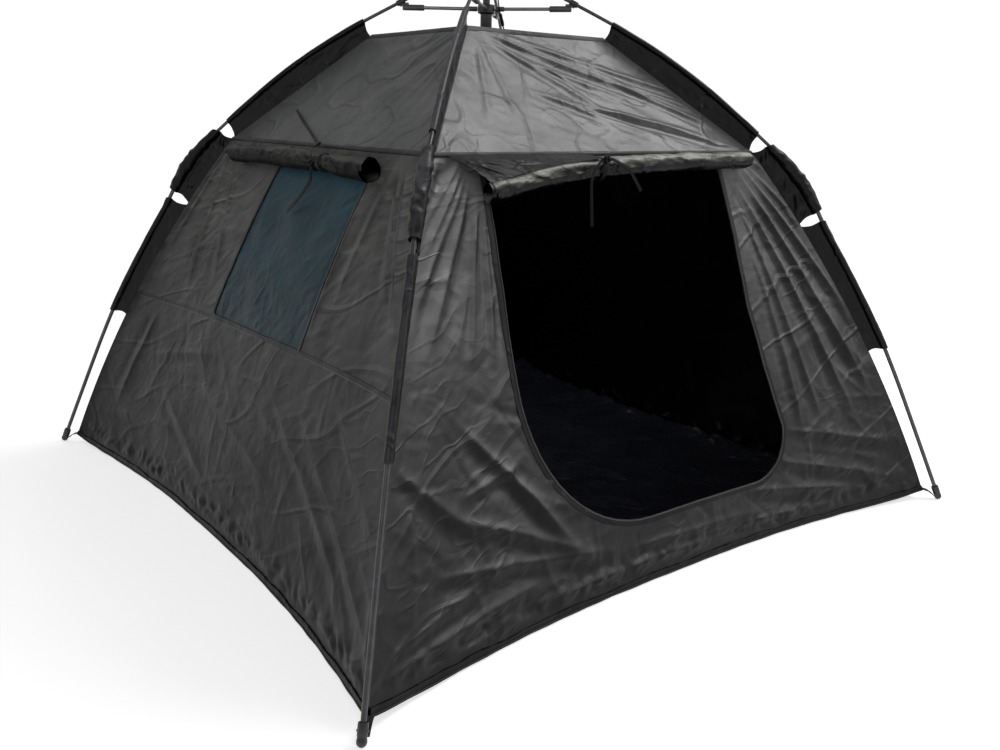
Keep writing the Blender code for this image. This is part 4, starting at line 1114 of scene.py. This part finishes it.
# Cloth of the door flap between the eave seam and its drooping roll.
def flap_apron():
    n = 120
    u = np.linspace(0, 1, n)
    keys = np.array(DOOR_ROLL)
    bottom_x = -0.492 + u * 0.392
    level = outward("front", 0.0)
    lean = math.radians(62)
    low = roll_axis("front", bottom_x, np.interp(bottom_x, keys[:, 0], keys[:, 1]))
    low = low + level * ROLL_R * math.cos(lean) + (0, 0, ROLL_R * math.sin(lean))
    high = at_wall("front", -0.555 + u * 0.455, np.full(n, 1.0965), 0.0035)
    rows = []
    for v in np.arange(26) / 25:
        way = np.arctan2(v * 0.055 + 0.002, u * 0.42 + 0.01) * 2.2
        ridge = 0.0085 * crease(NB, way * 3.4 + 1.7, u * 1.5 + 2.0, 0.04)
        ridge = ridge + 0.003 * crease(NC, way * 9.0, u * 3.0, 0.05)
        slack = math.sin(math.pi * v) * (ridge * (1 - 0.6 * u) + 0.004 * (1 - u))
        rows.append(high * (1 - v) + low * v + slack[:, None] * outward("front", 0.9))
    panel("door_flap_apron", np.array(rows), APRON, [], "roll_fabric",
          flat=(0.46, 0.085), held="hung", rests_on=["door_flap_rolled"])


def rolls():
    rolled("door_flap_rolled", "door_roll", "front", DOOR_ROLL, 5.5, 3.0, DOOR_TIE, DOOR_PINCH, ROLLED,
           (0.06, 0.16), (0.0, 0.0), flat=(1.0, 0.9), rests_on=["front_wall_cloth"])
    rolled("window_cover_rolled", "window_roll", "left", WINDOW_ROLL, 4.0, 8.0, WINDOW_TIE, WINDOW_PINCH,
           ROLLED_DARK, (0.12, 0.0), (0.0, 0.12), flat=(0.85, 0.62), rests_on=["left_wall_cloth"])
    flap_apron()


# Band round the roll, knot in front of it, and the two loose tails from the knot.
def tie(stem, side, key, pinch, angle, upright, low_keys, high_keys, slope):
    axis = roll_axis(side, *key)
    out = outward(side, 0.0)
    across = place(side, 1.0, 0.0, 0.0)
    ang = np.radians(np.linspace(-120, 150, 50))[:, None]
    rows = []
    for off, r in ((-0.0075, 0.0), (-0.0072, 0.0012), (-0.0055, 0.0016), (0.0055, 0.0016), (0.0072, 0.0012),
                   (0.0075, 0.0)):
        ring = (ROLL_R * pinch + 0.0008 + r) * (np.cos(ang) * out + np.sin(ang) * UP)
        rows.append(axis + across * (off + 0.0015 * np.sin(ang * 3)) + ring)
    b = Build()
    b.grid(np.stack(rows, 1))
    b.done(stem + "_tie_band", [TAPE], 50, [stem + "_tie"], "webbing")
    reach = ROLL_R + 0.0099
    a = math.radians(angle)
    middle = axis + out * reach * math.cos(a) + UP * reach * math.sin(a)
    along = UP if upright else across
    b = Build()
    knot_turns(b, middle, along, out, 0.0095)
    b.done(stem + "_tie_knot", [TAPE], 60, [stem + "_knot"], "webbing")
    for way, name, keys, lean in ((-1, "low" if upright else "long", low_keys, 0.0),
                                  (1, "high" if upright else "short", high_keys, slope)):
        start = middle + along * way * (KNOT_HALF + 0.0003)
        points = [start, start + along * way * 0.005] + [place(side, *key) for key in keys]
        tape_tail(stem + "_tie_tail_" + name, stem + "_tail_" + name, side, np.array(points), lean)


# Two crossed turns of tape, drawn tight.
def knot_turns(b, middle, along, out, size):
    side = np.cross(along, out)
    t = np.linspace(0, 2 * np.pi, 48)
    c, s = np.cos(t)[:, None], np.sin(t)[:, None]
    for tilt, scale in ((0.45, 1.0), (-0.5, 0.92)):
        s2 = np.sin(t * 2 + tilt * 3)[:, None]
        ring = along * (size * 0.62 * c) + side * (size * 0.8 * s) - out * 0.001
        ring = ring + out * (size * 0.35 * s2) + along * tilt * size * 0.6 * s
        b.tube(middle + ring * scale, 0.0036 + 0.0006 * np.cos(t * 3), 10)


def tape_tail(name, node, side, keys, slope):
    path = curve(keys, np.linspace(0, len(keys) - 1, 8 * len(keys) - 7))
    tan = tangents(path)
    across = np.cross(tan, unit(place(side, 0.0, 1.0, slope)))
    across /= np.linalg.norm(across, axis=1)[:, None]
    up = np.cross(across, tan)
    twist = 0.35 * np.sin(np.linspace(0, 4.5, len(path)))[:, None]
    x_dir = across * np.cos(twist) + up * np.sin(twist)
    y_dir = up * np.cos(twist) - across * np.sin(twist)
    ring = ((-1.0, -0.7), (-0.8, -1.0), (0.8, -1.0), (1.0, -0.7), (1.0, 0.7), (0.8, 1.0), (-0.8, 1.0),
            (-1.0, 0.7))
    b = Build()
    rows = [path + x_dir * x * TAPE_HALF + y_dir * y * TAPE_THICK / 2 for x, y in ring]
    b.grid(np.stack(rows, 1), True, caps=True)
    tail = b.done(name, [TAPE], 50, [node], "webbing")


def ties():
    tie("door", "front", DOOR_ROLL[2], DOOR_PINCH, DOOR_KNOT_ANGLE, False, DOOR_TAIL_LONG,
        DOOR_TAIL_SHORT, 0.0)
    tie("window", "left", WINDOW_ROLL[2], WINDOW_PINCH, 0.0, True, WINDOW_TAIL_LOW, WINDOW_TAIL_HIGH,
        ROOF_SLOPE)


def cords():
    way = math.radians(-60)
    keys = np.array([(HUB_Z + 0.0014, 0.026), (1.59, 0.0292), (1.56, 0.034), (1.53, 0.0388),
                     (1.504, 0.043), (1.48, 0.0497), (1.45, 0.0586), (1.42, 0.067), (1.4, 0.074)])
    z = np.linspace(keys[0, 0], keys[-1, 0], 40)
    r = np.interp(-z, -keys[:, 0], keys[:, 1])
    path = np.stack([r * math.cos(way), r * math.sin(way), z], -1)
    b = Build()
    b.tube(path, PULL_CORD_R, 12)
    cord = b.done("pull_cord_line", [TAPE], 50, ["pull_cord"], "webbing")
    b = Build()
    high, low = (path[np.abs(z - at).argmin()] for at in (1.4915, 1.453))
    span = 1000 * float(np.linalg.norm(low - high))
    b.lathe([(1.6, 0), (4.2, 1.5), (5.3, 5), (4.6, span * 0.45), (5.4, span * 0.62), (5, span - 6),
             (3.4, span - 1), (1.6, span)], high, unit(low - high), 20)
    knot = b.done("pull_cord_knot", [TAPE], 60, [], "webbing")


cords()
ties()
body_panels()
roof_cloth()
vent_cloth()
ground_cloth()
window_pane()
trims()
seam_bands()
hem_band()
for k, (tag, sign) in enumerate(CORNERS.items()):
    pole_pieces(tag, sign)
    sleeves(tag, sign, k)
    straps(tag, sign)
centre_pieces()
rolls()
